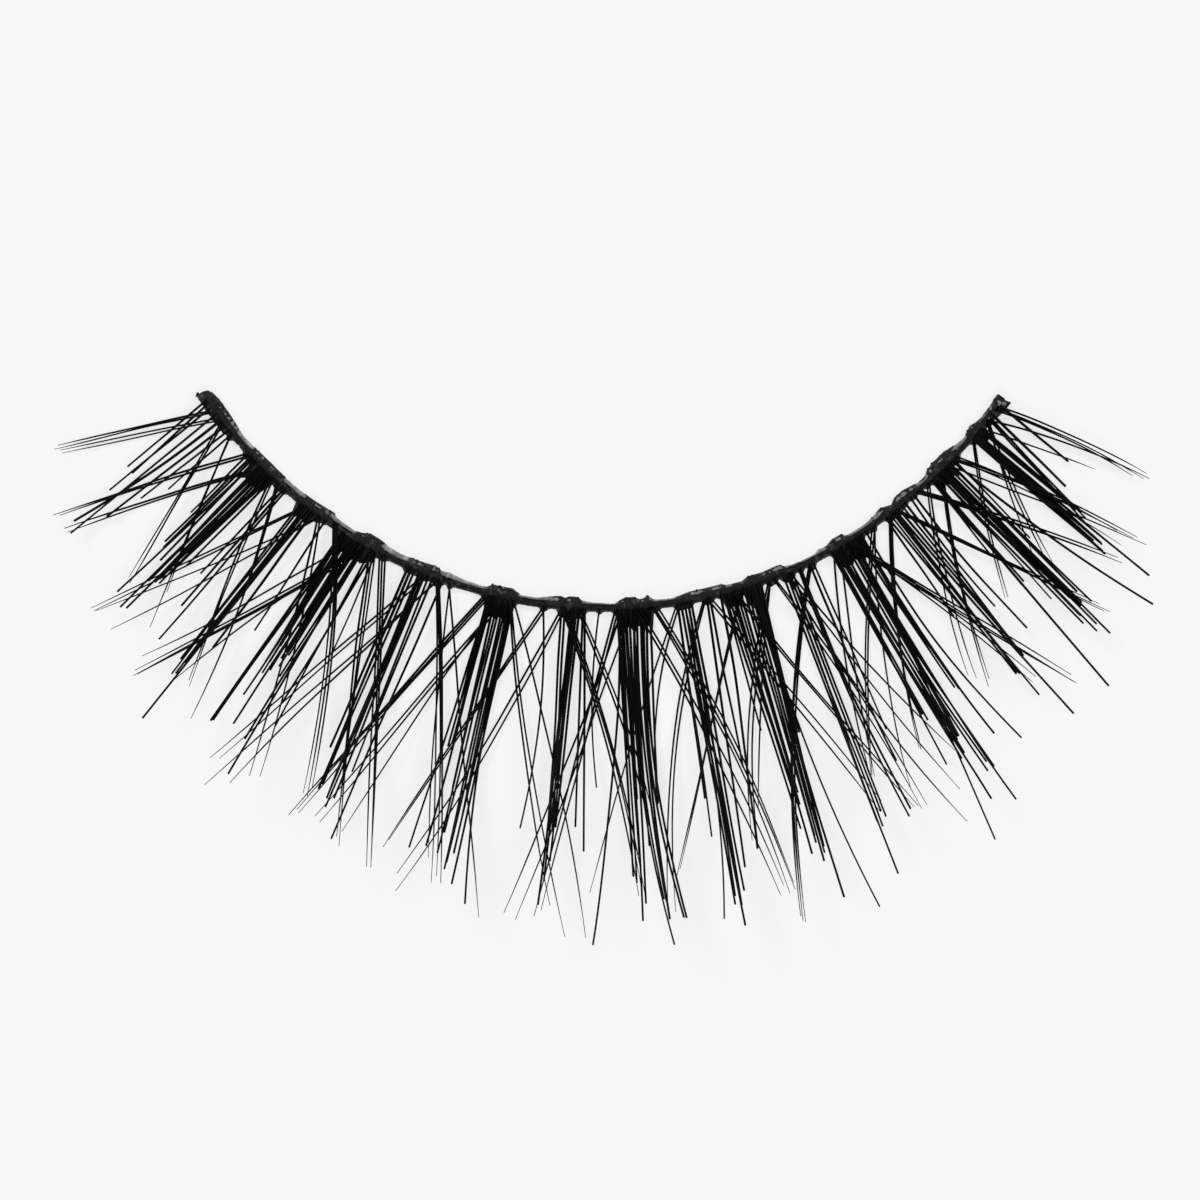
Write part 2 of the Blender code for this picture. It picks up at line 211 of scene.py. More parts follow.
def buildDriedGlue():
    # clotted, dried glue: a mask of where it sits and the height it adds
    group, start, end = newGroup(
        "driedGlue",
        [
            ("Clot Size", "NodeSocketFloat", 0.25),
            ("Amount", "NodeSocketFloat", 0.5),
        ],
        [("Mask", "NodeSocketFloat"), ("Height", "NodeSocketFloat")],
    )
    steepness = 9.0          # how crisp a clot's edge is
    atEdge = 0.5             # mask on the edge itself
    place = addNode(group, "ShaderNodeTexCoord")
    size = mathNode(group, "MULTIPLY", start.outputs["Clot Size"], mm)
    scale = mathNode(group, "DIVIDE", 1.0, size)
    clots = addNode(group, "ShaderNodeTexNoise", None, Detail=3.0, Roughness=0.55)
    group.links.new(place.outputs["Object"], clots.inputs["Vector"])
    group.links.new(scale, clots.inputs["Scale"])
    edge = mathNode(group, "SUBTRACT", 1.0, start.outputs["Amount"])
    lifted = mathNode(group, "SUBTRACT", clots.outputs["Fac"], edge)
    steep = mathNode(group, "MULTIPLY", lifted, steepness)
    mask = addNode(group, "ShaderNodeClamp")
    group.links.new(mathNode(group, "ADD", steep, atEdge), mask.inputs["Value"])
    group.links.new(mask.outputs[0], end.inputs["Mask"])
    group.links.new(clots.outputs["Fac"], end.inputs["Height"])
    return group


fibreStreaks = buildFibreStreaks()
driedGlue = buildDriedGlue()


# Materials

def newMaterial(name):
    material = bpy.data.materials.new(name)
    material.use_nodes = True
    tree = material.node_tree
    return material, tree, tree.nodes["Principled BSDF"]


def colourRamp(tree, source, stops):
    ramp = tree.nodes.new("ShaderNodeValToRGB")
    elements = ramp.color_ramp.elements
    while len(elements) < len(stops):
        elements.new(0.5)
    for element, (position, colour) in zip(elements, stops):
        element.position = position
        element.color = (*colour, 1.0)
    tree.links.new(source, ramp.inputs["Fac"])
    return ramp.outputs["Color"]


def mapTo(tree, source, low, high):
    node = addNode(tree, "ShaderNodeMapRange")
    node.inputs["To Min"].default_value = low
    node.inputs["To Max"].default_value = high
    tree.links.new(source, node.inputs["Value"])
    return node.outputs["Result"]


def useGroup(tree, group, values):
    node = tree.nodes.new("ShaderNodeGroup")
    node.node_tree = group
    for label, value in values.items():
        node.inputs[label].default_value = value
    return node


def addBump(tree, shader, height, strength, distance):
    bump = addNode(tree, "ShaderNodeBump", None, Strength=strength, Distance=distance)
    tree.links.new(height, bump.inputs["Height"])
    tree.links.new(bump.outputs["Normal"], shader.inputs["Normal"])


hairLook = {
    # place on the ramp of the hairs' own tones, and colour
    "tones": [
        (0.0, (0.0012, 0.0010, 0.0011)),     # darkest
        (0.55, (0.0042, 0.0026, 0.0024)),    # warm
        (1.0, (0.0024, 0.0023, 0.0028)),     # cool
    ],
    "streaks": {"Around Scale": 7.0, "Along Scale": 0.8, "Contrast": 1.6},
    # what a dark and a light streak do to the tone
    "streakShade": [(0.25, (0.45, 0.45, 0.45)), (0.75, (1.45, 1.4, 1.4))],
    "roughness": (0.30, 0.50),
    "specular": 0.07,
    "grooves": 0.5,
    "grooveHeight": 0.004 * mm,
}


def makeHairMaterial(look):
    material, tree, shader = newMaterial("lashHair")
    streaks = useGroup(tree, fibreStreaks, look["streaks"])
    tone = addNode(tree, "ShaderNodeAttribute", {"attribute_name": "hairTone"})
    hairColour = colourRamp(tree, tone.outputs["Fac"], look["tones"])
    streakColour = colourRamp(tree, streaks.outputs["Streak"], look["streakShade"])
    mixed = addNode(tree, "ShaderNodeMix", {"data_type": "RGBA", "blend_type": "MULTIPLY"})
    mixed.inputs["Factor"].default_value = 1.0
    tree.links.new(hairColour, mixed.inputs["A"])
    tree.links.new(streakColour, mixed.inputs["B"])
    tree.links.new(mixed.outputs["Result"], shader.inputs["Base Color"])
    rough = mapTo(tree, streaks.outputs["Patch"], *look["roughness"])
    tree.links.new(rough, shader.inputs["Roughness"])
    shader.inputs["Specular IOR Level"].default_value = look["specular"]
    addBump(tree, shader, streaks.outputs["Streak"], look["grooves"], look["grooveHeight"])
    return material


threadLook = {
    # place on the ramp of the streaks, and colour: the thread, and the lighter tops of its fibres, partly
    # their own tone and partly painted highlight
    "fibresAndTopHighlight": [(0.35, (0.0025, 0.0023, 0.0027)), (0.85, (0.022, 0.021, 0.0225))],
    "streaks": {"Around Scale": 9.0, "Along Scale": 2.2, "Contrast": 1.8},
    "glueGreyAndGlint": (0.085, 0.083, 0.086),
    "glueAndGlintCover": 0.45,       # how far the glue's grey and painted glint hide the fibres' colour
    "roughness": (0.22, 0.50),
    "specular": 0.22,
    "clotSize": 0.22,        # mm
    "bandGlueAndGlint": 0.45,        # share of the band and of the knots with glue over it, and with its painted glint
    "knotGlueAndGlint": 0.40,
    "relief": 0.8,
    "reliefHeight": 0.02 * mm,
}


def makeThreadMaterial(look, name, glueAndGlintAmount):
    material, tree, shader = newMaterial(name)
    streaks = useGroup(tree, fibreStreaks, look["streaks"])
    glue = useGroup(tree, driedGlue, {"Clot Size": look["clotSize"], "Amount": glueAndGlintAmount})
    # streak colour: the fibres' own tone, with their lighter tops as painted highlight
    fibreAndHighlight = colourRamp(tree, streaks.outputs["Streak"], look["fibresAndTopHighlight"])
    mixed = addNode(tree, "ShaderNodeMix", {"data_type": "RGBA"})
    # where glue lies the colour turns a lighter grey: partly the glue's own grey, partly painted glint
    mixed.inputs["B"].default_value = (*look["glueGreyAndGlint"], 1.0)
    cover = mathNode(tree, "MULTIPLY", glue.outputs["Mask"], look["glueAndGlintCover"])
    tree.links.new(cover, mixed.inputs["Factor"])
    tree.links.new(fibreAndHighlight, mixed.inputs["A"])
    tree.links.new(mixed.outputs["Result"], shader.inputs["Base Color"])
    glued, dry = look["roughness"]
    tree.links.new(mapTo(tree, glue.outputs["Mask"], dry, glued), shader.inputs["Roughness"])
    shader.inputs["Specular IOR Level"].default_value = look["specular"]
    both = mathNode(tree, "ADD", streaks.outputs["Streak"], glue.outputs["Height"])
    addBump(tree, shader, both, look["relief"], look["reliefHeight"])
    return material


glueLook = {
    # place on the ramp of the glue's thickness, and colour: smoky grey, then a light grey that is partly the
    # glue's own and partly painted glint
    "greyAndPaintedGlint": [(0.38, (0.16, 0.16, 0.163)), (0.62, (0.46, 0.46, 0.465))],
    "roughness": (0.18, 0.42),
    "alpha": (0.9, 0.6),
    "specular": 0.5,
    "clots": {"Clot Size": 0.35, "Amount": 0.52},
    "relief": 0.6,
    "reliefHeight": 0.03 * mm,
}


def makeGlueMaterial(look):
    material, tree, shader = newMaterial("glueWithPaintedGlint")
    glue = useGroup(tree, driedGlue, look["clots"])
    # the lighter end of this ramp stands in for glints: painted glint
    colour = colourRamp(tree, glue.outputs["Height"], look["greyAndPaintedGlint"])
    tree.links.new(colour, shader.inputs["Base Color"])
    tree.links.new(mapTo(tree, glue.outputs["Mask"], *look["roughness"]), shader.inputs["Roughness"])
    tree.links.new(mapTo(tree, glue.outputs["Mask"], *look["alpha"]), shader.inputs["Alpha"])
    shader.inputs["Specular IOR Level"].default_value = look["specular"]
    addBump(tree, shader, glue.outputs["Height"], look["relief"], look["reliefHeight"])
    return material


lashHair = makeHairMaterial(hairLook)
lashThread = makeThreadMaterial(threadLook, "lashThread", threadLook["bandGlueAndGlint"])
knotThread = makeThreadMaterial(threadLook, "knotThread", threadLook["knotGlueAndGlint"])
glueWithPaintedGlint = makeGlueMaterial(glueLook)
print("materials made")


# The band's own line, read off the photo
bandLine = {
    # how far the band wanders outward from its arc: percent, mm
    "drift": [
        (0, 0.03), (5, 0.04), (30, 0.03), (36, 0.02), (42, 0.045), (50, 0.06), (57, 0.05), (66, 0.03),
        (72, 0.06), (78, 0.0), (87, -0.04), (94, 0.0), (100, 0.0),
    ],
    # inner edge with its knots and dried glue: percent, mm from the arc
    "innerEdge": [
        (0, 0.25), (1, 0.32), (3, 0.31), (4.6, 0.25), (5.5, 0.21), (7, 0.22), (10, 0.25), (14, 0.22),
        (16.5, 0.26), (18.8, 0.32), (19.3, 0.23), (21.5, 0.19), (22.4, 0.24), (23.3, 0.38), (24.6, 0.36),
        (26, 0.28), (27.5, 0.25), (29.5, 0.28), (31.3, 0.33), (32, 0.25), (33, 0.28), (34.2, 0.22),
        (36.5, 0.18), (37.2, 0.16), (37.8, 0.30), (39.9, 0.31), (40.4, 0.24), (41, 0.15), (42, 0.12),
        (43.2, 0.19), (44.3, 0.24), (45.3, 0.29), (45.8, 0.24), (46.3, 0.30), (47.1, 0.30), (47.6, 0.19),
        (49, 0.13), (51.2, 0.10), (51.7, 0.20), (52.3, 0.29), (53.3, 0.29), (53.8, 0.20), (54.3, 0.21),
        (54.8, 0.30), (55.3, 0.16), (57, 0.11), (58.2, 0.16), (59.3, 0.24), (62.8, 0.26), (63.4, 0.18),
        (65.1, 0.16), (65.8, 0.27), (67.4, 0.24), (69.3, 0.28), (70, 0.16), (72.6, 0.08), (73.5, 0.13),
        (74.1, 0.22), (75, 0.18), (75.8, 0.29), (76.9, 0.30), (77.4, 0.17), (79.6, 0.16), (81, 0.25),
        (82.2, 0.31), (83.3, 0.18), (84, 0.31), (85.2, 0.34), (86.6, 0.24), (87.9, 0.16), (88.7, 0.31),
        (89.6, 0.36), (91.3, 0.36), (92.4, 0.27), (94, 0.17), (95.4, 0.28), (96.1, 0.19), (97.2, 0.13),
        (100, 0.15),
    ],
}


def innerEdgeAt(percent):
    return readOff(bandLine["innerEdge"], percent)[0]


def driftAt(percent):
    return readOff(bandLine["drift"], percent)[0]


# Lashes: every hair of the strip
lashes = {
    "sides": 8,
    "steps": 22,
    "rootCrowding": 1.25,    # above 1 puts more of the steps near the band
    "seed": 100,
    "usual": (1, 0.0, 0.11),     # hairs, bow and thickness where a row of the chart leaves them off
    "lift": 0.06,            # mm, a hair's middle over the lowest line
    "layerStep": 0.12,       # mm between the left wings, the blocks and the right wings
    "layerWander": 0.05,
    "thickness": 0.84,       # share of the chart's thickness
    "thickWander": 0.10,
    "taperFrom": 0.3,        # share of the hair where it starts to taper
    "bluntTip": 0.80,        # share of the thickness left at a cut end
    "wingTip": 0.70,         # the same for the finer hairs of the wings,
    "wingFade": 0.55,        # and the share they lose again over the last bit,
    "fadeFrom": 0.84,        # from here on
    "cutEdge": 0.012,        # mm, rounded edge of a cut end
    "cutFace": 0.6,          # share of the radius left inside that edge
    "rootGap": 0.28,         # percent of the band between the hairs of a row
    "bluntGap": 0.26,        # the same at the tips, cut hairs
    "wingGap": 0.36,         # and wings
    "rootWander": 0.05,      # percent
    "tipWander": 0.08,
    "reachWander": 0.05,     # share of the reach
    "shuffle": 0.10,         # share of a row by which its hairs swap places at the tip
    "heightWander": 0.10,    # mm at the tip,
    "wanderFrom": 0.2,       # from this share of the hair on
    "sideWave": 0.035,       # mm, on a hair as long as waveHair
    "waveHair": 10.0,
    "waveHalfTurns": 2.2,
    "waveStart": (0.05, 0.4),    # shares of the hair over which the wave sets in
    "streakShift": (37.0, 91.0),     # gives each hair its own part of the streaks
}

# head: first and last place of the knot
# rows of hairs: root and tip (percent), reach (mm), number of hairs, bow (share of the length, + to the
# right), thickness (mm); a row leaves off the last of them where they are the usual ones
tufts = {
    1: {"head": (0.1, 5.2), "left": [
        (1.9, (-3.6, -3.45), 5.55, 2, -0.004, 0.085),
        (3.0, (-3.1, -2.75), 5.55, 2, -0.004, 0.080),
    ], "straight": [
        (0.3, 1.2, 3.7, 1, 0.0, 0.105),
        (0.7, 1.9, 3.7, 1, 0.0, 0.105),
        (1.3, 1.9, 4.7),
        (2.2, 2.8, 6.7),
        (2.95, 2.2, 6.35, 1, 0.02, 0.13),
        (3.7, 3.5, 5.35, 1, 0.0, 0.108),
        (4.4, 4.1, 4.0),
        (4.8, 5.0, 3.05, 1, 0.0, 0.10),
    ], "right": [
        ((3.0, 3.3), (8.4, 8.75), 6.4, 2, 0.0, 0.085),
        (4.7, 12.2, 6.9, 1, -0.006, 0.085),
        (4.6, 11.3, 5.6, 1, -0.006, 0.085),
    ]},
    2: {"head": (7.3, 12.1), "left": [
        ((7.75, 8.05), (0.95, 1.2), 6.95, 2, -0.010, 0.095),
        ((9.9, 10.05), (2.3, 2.6), 7.0, 2, -0.014, 0.10),
    ], "straight": [
        (7.6, 7.95, 3.0, 1, 0.0, 0.10),
        ((8.0, 8.3), (8.28, 8.5), (4.3, 5.0), 2),
        (8.6, 9.1, 4.95),
        (8.75, 8.52, 6.8),
        ((9.3, 11.0), (9.6, 10.5), (4.9, 6.0), 7, 0.0, 0.108),
        ((9.6, 10.0), (9.4, 9.85), 7.2, 2),
        ((10.8, 11.3), (10.0, 11.0), (4.0, 5.9), 3),
    ], "right": [
        (11.1, (17.0, 17.2), 7.85, 2, -0.013, 0.09),
        (11.8, (18.6, 18.8), 8.6, 2, 0.026, 0.085),
    ]},
    3: {"head": (12.4, 18.8), "left": [
        ((15.9, 16.15), (8.0, 8.3), 7.9, 2, 0.0, 0.08),
        (17.9, 8.45, 7.8, 1, 0.01, 0.08),
        (17.9, 10.2, 7.9, 1, 0.005, 0.08),
    ], "straight": [
        (12.6, 12.3, 4.3, 1, 0.0, 0.10),
        (12.9, 12.9, 5.6),
        (13.2, 13.33, 7.0),
        ((15.2, 16.6), (15.5, 16.0), (5.9, 8.4), 5, 0.0, 0.108),
        (16.2, 16.03, 9.5),
        (16.9, 17.0, 6.05, 1, 0.0, 0.13),
        (18.4, 18.9, 4.7, 1, 0.0, 0.10),
    ], "right": [
        (17.6, 25.0, 9.0, 1, 0.020, 0.09),
        (17.4, 24.35, 9.15, 1, 0.010, 0.09),
    ]},
    4: {"head": (20.4, 26.4), "left": [
        (23.9, (13.4, 13.8), 8.7, 3, 0.005, 0.095),
        (22.4, 13.2, 7.85, 1, 0.012, 0.09),
        (23.5, 16.0, 7.9, 1, -0.018, 0.085),
    ], "straight": [
        (20.8, (20.0, 20.1), 8.55, 2),
        (21.2, 21.0, 6.8),
        (21.3, 21.3, 5.8),
        (22.2, 21.47, 7.85),
        ((20.8, 23.2), (21.0, 22.7), (4.7, 5.8), 8, 0.0, 0.108),
        (22.6, 22.2, 5.3),
        (23.5, 22.75, 8.1, 1, 0.0, 0.12),
        (23.2, 23.03, 9.45),
        (24.2, 24.25, 7.2),
        (24.6, 23.9, 6.35),
        (24.8, 25.55, 3.9, 1, 0.0, 0.08),
    ], "right": [
        (19.5, (28.3, 28.75), 9.0, 3, 0.027, 0.09),
        ((24.0, 24.3), (31.5, 31.85), 10.1, 2, -0.010, 0.095),
        (24.6, 30.6, 8.2, 1, 0.0, 0.085),
        (25.4, (33.95, 34.4), 10.7, 3, 0.0, 0.09),
    ]},
    5: {"head": (28.1, 33.8), "left": [
        (30.6, 21.35, 9.3, 1, 0.0, 0.085),
        (31.0, 21.9, 9.15, 1, 0.0, 0.085),
        (32.3, 22.0, 10.2, 1, 0.0, 0.09),
        (32.2, 23.4, 9.7, 1, -0.008, 0.09),
    ], "straight": [
        (28.5, 28.66, 7.0, 1, 0.0, 0.12),
        (28.95, 29.08, 8.5, 1, 0.0, 0.12),
        (29.3, 29.25, 8.3, 1, 0.0, 0.10),
        (29.85, 29.9, 8.6),
        (30.25, (29.9, 30.05), 9.05, 2),
        (30.5, 30.35, 8.6),
        (31.0, 30.9, 7.5),
        (31.4, 31.0, 5.6),
        (32.6, 31.2, 9.95),
    ], "right": [
        ((31.7, 32.0), (38.4, 39.05), (10.6, 11.0), 3, 0.010, 0.09),
        (33.05, 41.9, 11.3, 1, 0.0, 0.085),
        (33.3, 37.9, 9.6, 1, -0.014, 0.085),
    ]},
    6: {"head": (36.9, 41.4), "left": [
        (37.7, (28.05, 28.5), 9.8, 3, -0.003, 0.095),
        (39.6, 29.9, 9.8, 2, 0.0, 0.09),
        (39.2, 31.75, 9.6, 1, -0.011, 0.09),
    ], "straight": [
        (37.75, 36.5, 9.4),
        ((37.6, 37.85), 37.45, 5.75, 2),
        (38.1, 37.57, 9.2),
        (38.4, 38.45, 7.0),
        (38.75, 38.4, 9.35),
        (39.1, 38.6, 8.6),
        (39.4, 39.1, 9.85),
        (39.7, 39.2, 9.6),
        (39.95, 39.5, 9.25),
        (40.15, 39.55, 9.2),
        (40.35, 39.8, 10.3),
        (40.5, 40.9, 10.9, 1, -0.029, 0.10),
    ], "right": [
        (39.9, 46.5, 10.6, 1, -0.021, 0.09),
        (40.0, 47.55, 11.65, 1, -0.021, 0.085),
        (40.2, 48.85, 11.65, 1, 0.0155, 0.085),
    ]},
    7: {"head": (43.1, 49.8), "left": [
        (44.0, 34.85, 9.8, 2, -0.003, 0.09),
        (45.7, 36.2, 10.4, 1, 0.016, 0.09),
        (46.0, 36.35, 11.0, 1, 0.022, 0.09),
    ], "straight": [
        (43.5, 43.9, 8.0, 1, 0.036, 0.095),
        ((45.5, 45.8), 46.1, (8.0, 9.0), 2),
        (46.7, 45.65, 10.6),
        (46.9, 45.95, 9.75),
        (47.1, 46.2, 9.05),
        ((46.6, 47.4), (45.9, 46.4), (6.5, 8.5), 3, 0.0, 0.108),
        (47.7, 47.9, 7.8),
        (47.9, 48.57, 8.65),
        (49.6, 49.4, 6.4, 1, -0.032, 0.09),
    ], "right": [
        (45.5, (52.4, 52.8), 10.5, 3, 0.027, 0.09),
        (47.0, 53.6, 8.0, 2, 0.025, 0.085),
    ]},
    8: {"head": (51.1, 56.1), "left": [
        (52.1, 43.45, 11.0, 1, 0.015, 0.09),
        (53.2, 44.35, 11.2, 1, 0.005, 0.09),
        (51.5, (45.4, 45.9), 11.2, 2, 0.0, 0.09),
    ], "straight": [
        (51.7, 49.25, 11.9, 1, 0.022, 0.10),
        (51.5, 52.0, 5.1, 1, 0.0, 0.10),
        ((51.9, 52.3), 52.45, 7.05, 2),
        (51.6, (51.95, 52.15), 9.8, 2),
        (52.2, 52.45, 8.8),
        (52.3, 52.5, 11.1),
        (52.65, 52.8, 10.5, 1, 0.0, 0.12),
        (53.0, 53.2, 8.5),
        (53.4, 54.0, 10.5, 2, -0.025),
        (53.9, 54.25, 11.1, 1, -0.020),
        (53.3, 54.35, 12.0, 1, -0.036, 0.10),
        (54.5, (55.1, 55.25), 11.15, 2, -0.038),
        (54.9, 54.05, 7.05, 1, 0.0, 0.12),
    ], "right": [
        (53.3, (61.5, 61.9), 10.9, 2, 0.020, 0.09),
        (55.15, (62.3, 62.7), 10.9, 3, 0.028, 0.09),
    ]},
    9: {"head": (57.3, 62.5), "left": [
        (58.0, 49.05, 10.1, 1, -0.010, 0.08),
        (61.0, 54.4, 10.9, 2, -0.046, 0.085),
        (58.3, 54.05, 7.1, 1, -0.060, 0.085),
    ], "straight": [
        (57.8, 57.65, 7.05),
        (57.9, 57.75, 8.4, 1, 0.0, 0.085),
        ((58.2, 59.3), (58.45, 59.3), (10.3, 11.4), 4, 0.0, 0.108),
        (58.5, 57.7, 11.3, 1, 0.028, 0.085),
        (59.0, 58.95, 11.65),
        (61.0, 59.65, 9.65, 1, 0.0, 0.125),
        (61.3, 60.95, 6.2, 1, 0.0, 0.12),
        (62.5, 60.7, 9.1, 1, 0.012),
    ], "right": [
        (61.0, (69.6, 70.1), 9.15, 2, 0.005, 0.09),
    ]},
    10: {"head": (62.6, 64.9), "left": [
        (65.0, (54.9, 55.25), 9.85, 2, 0.0, 0.09),
    ], "straight": [
        ((62.9, 64.6), (64.05, 64.6), (6.0, 10.4), 6),
        (62.9, 63.05, 5.1, 1, 0.0, 0.10),
    ], "right": [
        (63.8, (71.9, 72.2), 9.5, 2, -0.008, 0.09),
    ]},
    11: {"head": (65.0, 68.7), "left": [
        (68.2, 61.4, 7.8, 1, -0.014, 0.085),
        (68.2, 60.7, 9.1, 2, -0.040, 0.09),
    ], "straight": [
        ((65.1, 67.0), (64.8, 65.2), (9.3, 10.6), 6),
        (66.0, 65.45, 11.5),
        (66.2, 65.9, 5.7, 2),
        (66.4, 67.4, 12.2, 1, -0.029, 0.085),
    ], "right": [
        (68.3, 72.6, 9.65, 2, 0.020, 0.085),
    ]},
    12: {"head": (69.0, 73.1), "left": [
        ((72.8, 73.1), (62.5, 62.65), 12.2, 3, -0.038, 0.10),
    ], "straight": [
        ((69.5, 70.5), (69.2, 69.95), (9.2, 10.2), 4, 0.0, 0.108),
        (69.9, 69.2, 11.35),
        (71.4, 71.5, 9.9, 2, -0.018),
        (72.6, 72.17, 7.7, 1, -0.010),
        (73.0, 72.5, 6.55, 1, 0.0, 0.085),
    ], "right": [
        (70.2, 76.3, 8.3, 1, -0.020, 0.085),
        (69.9, 75.25, 9.6, 1, -0.010, 0.085),
        (69.8, 74.7, 10.7, 1, -0.032, 0.085),
    ]},
    13: {"head": (75.0, 80.6), "left": [
        ((80.5, 80.8), (69.9, 70.1), 8.0, 2, -0.022, 0.09),
        (75.6, 69.95, 7.9, 1, -0.026, 0.09),
        (76.3, 70.2, 7.9, 1, -0.010, 0.085),
        (80.8, 72.3, 8.8, 1, -0.034, 0.085),
    ], "straight": [
        (75.3, 75.55, 6.95, 2),
        (75.45, 75.29, 8.6, 1, 0.0, 0.10),
        ((75.9, 77.9), (76.4, 77.1), (8.0, 8.3), 5, 0.0, 0.10),
        (78.0, 75.76, 11.7, 1, 0.010, 0.10),
        (75.7, 76.77, 10.4, 1, 0.0, 0.12),
        (75.8, (76.4, 76.75), 8.8, 2),
        (77.3, 77.54, 9.5, 1, -0.014),
        (77.6, 77.93, 9.5, 2, -0.016),
        (77.8, 78.2, 10.85, 1, -0.016),
        ((78.3, 78.8), (78.8, 79.0), (6.3, 6.6), 3, -0.012, 0.115),
        (78.9, 79.33, 8.5, 1, -0.020),
        (79.4, 80.7, 9.15, 1, -0.036, 0.10),
    ], "right": [
        ((76.8, 77.3), (86.0, 86.2), (8.7, 9.1), 3, 0.0, 0.09),
        (77.3, 83.95, 7.85, 2, 0.018, 0.085),
    ]},
    14: {"head": (81.6, 86.5), "left": [
        ((82.7, 83.0), (74.1, 74.35), (7.4, 7.9), 3, -0.031, 0.095),
    ], "straight": [
        (82.0, 81.85, 4.3, 1, 0.0, 0.10),
        ((82.2, 83.2), (83.12, 83.38), 7.33, 4, 0.0, 0.095),
        (83.0, 83.5, 8.3),
        (83.3, 84.6, 9.55, 1, -0.004, 0.105),
        ((83.7, 84.6), (84.3, 84.5), 6.9, 3, 0.0, 0.105),
        (85.4, 85.08, 4.9, 1, -0.020, 0.10),
        (85.85, 85.94, 6.2, 1, -0.016, 0.10),
    ], "right": [
        ((83.1, 83.4), (91.1, 91.35), (7.2, 7.9), 3, 0.002, 0.09),
        ((86.1, 86.5), (94.45, 94.85), (6.6, 7.1), 3, 0.012, 0.09),
    ]},
    15: {"head": (87.4, 92.4), "left": [
        ((87.8, 88.1), (80.15, 80.5), 6.6, 2, -0.030, 0.085),
        (90.0, 81.0, 7.1, 2, -0.027, 0.085),
    ], "straight": [
        (88.3, 87.7, 3.4, 1, 0.0, 0.10),
        (88.4, 88.15, 5.05, 2),
        (88.6, 87.65, 9.6, 1, 0.0, 0.12),
        (89.2, 88.95, 6.0, 1, 0.0, 0.085),
        (89.3, 89.6, 7.45, 2),
        (89.8, (89.78, 90.0), 7.95, 2),
        (90.2, 90.27, 8.3),
        ((89.5, 90.6), (90.0, 90.3), (6.6, 7.2), 4, 0.0, 0.105),
        (91.0, 90.75, 6.45, 1, 0.0, 0.12),
        (90.9, 90.98, 7.05),
        (91.5, 91.2, 3.95, 1, 0.0, 0.10),
        (91.3, 93.85, 8.7, 1, -0.017),
    ], "right": [
        (91.35, (96.8, 97.0), (6.7, 7.2), 2, 0.026, 0.085),
        (91.8, 96.4, 6.1, 1, 0.022, 0.085),
        (91.4, 95.7, 6.5, 1, 0.030, 0.075),
        (90.5, 96.95, 7.2, 1, 0.004, 0.085),
    ]},
    16: {"head": (94.0, 99.4), "left": [
        (94.9, (86.1, 86.4), 5.1, 2, -0.020, 0.085),
        (97.3, 90.2, 4.6, 1, -0.015, 0.085),
        (97.2, 90.9, 5.2, 2, -0.022, 0.085),
    ], "straight": [
        ((94.5, 95.3), (94.35, 94.83), (5.9, 6.6), 6, 0.0, 0.108),
        (95.2, 95.25, 7.95, 1, 0.0, 0.12),
        ((95.7, 96.0), (95.6, 95.8), 4.7, 3),
        (97.4, 95.5, 5.1, 2),
        (97.85, 96.66, 3.7, 1, 0.0, 0.13),
        (99.15, 98.55, 3.25, 1, 0.0, 0.13),
    ], "right": [
        (95.8, 99.3, 4.15, 1, 0.011, 0.085),
        (96.95, 101.2, 5.95, 1, 0.032, 0.085),
        (98.3, 100.65, 5.4, 1, 0.032, 0.080),
        (98.65, 101.2, 5.9, 2, 0.026, 0.080),
    ]},
}

# How a hair's end is wrapped over the band
wrap = {
    "behind": 0.18,          # mm, the farthest its end is tucked behind the band
    "tuckedIn": 0.05,        # mm short of the band's own edge
    "endHeight": 0.10,
    "shoulder": 0.7,         # share of the way back where it bends down
    "shoulderHeight": 0.26,
    "top": 0.32,             # over the band
    "landsAt": 0.55,         # outward, where it is down at the lash's own height
}


def hairPath(root, tip, reach, bow, layer, seed):
    # from behind the band, over it and out to the tip
    rng = random.Random(seed)
    start = bandPoint(root, 0.0, 0.0)
    end = bandPoint(tip, reach, 0.0)
    run = end - start
    side = Vector((-run.y, run.x, 0.0)).normalized()
    length = run.length
    phase = rng.uniform(0.0, 2 * math.pi)
    wave = lashes["sideWave"] * rng.uniform(-1.0, 1.0) * length / lashes["waveHair"]
    rise = lashes["heightWander"] * rng.uniform(-1.0, 1.0)
    height = layer * lashes["layerStep"] + rng.uniform(0.0, lashes["layerWander"])
    behind = -min(wrap["behind"], innerEdgeAt(root) - wrap["tuckedIn"])
    points = [
        bandPoint(root, behind, wrap["endHeight"]),
        bandPoint(root, behind * wrap["shoulder"], wrap["shoulderHeight"]),
    ]
    steps = lashes["steps"]
    for i in range(steps + 1):
        share = (i / steps) ** lashes["rootCrowding"]
        point = start + run * share
        point += side * (bow * length * 4 * share * (1 - share))     # a parabola, bow at its middle
        swing = wave * math.sin(phase + lashes["waveHalfTurns"] * math.pi * share)
        point += side * (swing * smooth(*lashes["waveStart"], share))
        outward = outwardOf(point)
        lash = lashes["lift"] + height + curlHeight(outward)
        lash += rise * smooth(lashes["wanderFrom"], 1.0, share)
        down = smooth(0.0, wrap["landsAt"], outward)
        point.z = wrap["top"] * (1 - down) + lash * down
        points.append(point)
    return points


def hairRadii(kind, thickness, count):
    # cut hairs stay blunt, the hairs of the wings run out finer
    tipShare = lashes["bluntTip"] if kind == "straight" else lashes["wingTip"]
    radii = []
    for k in range(count):
        share = k / (count - 1)
        radius = thickness / 2 * (1 - (1 - tipShare) * smooth(lashes["taperFrom"], 1.0, share))
        if kind != "straight":
            radius *= 1 - lashes["wingFade"] * smooth(lashes["fadeFrom"], 1.0, share)
        radii.append(radius)
    return radii


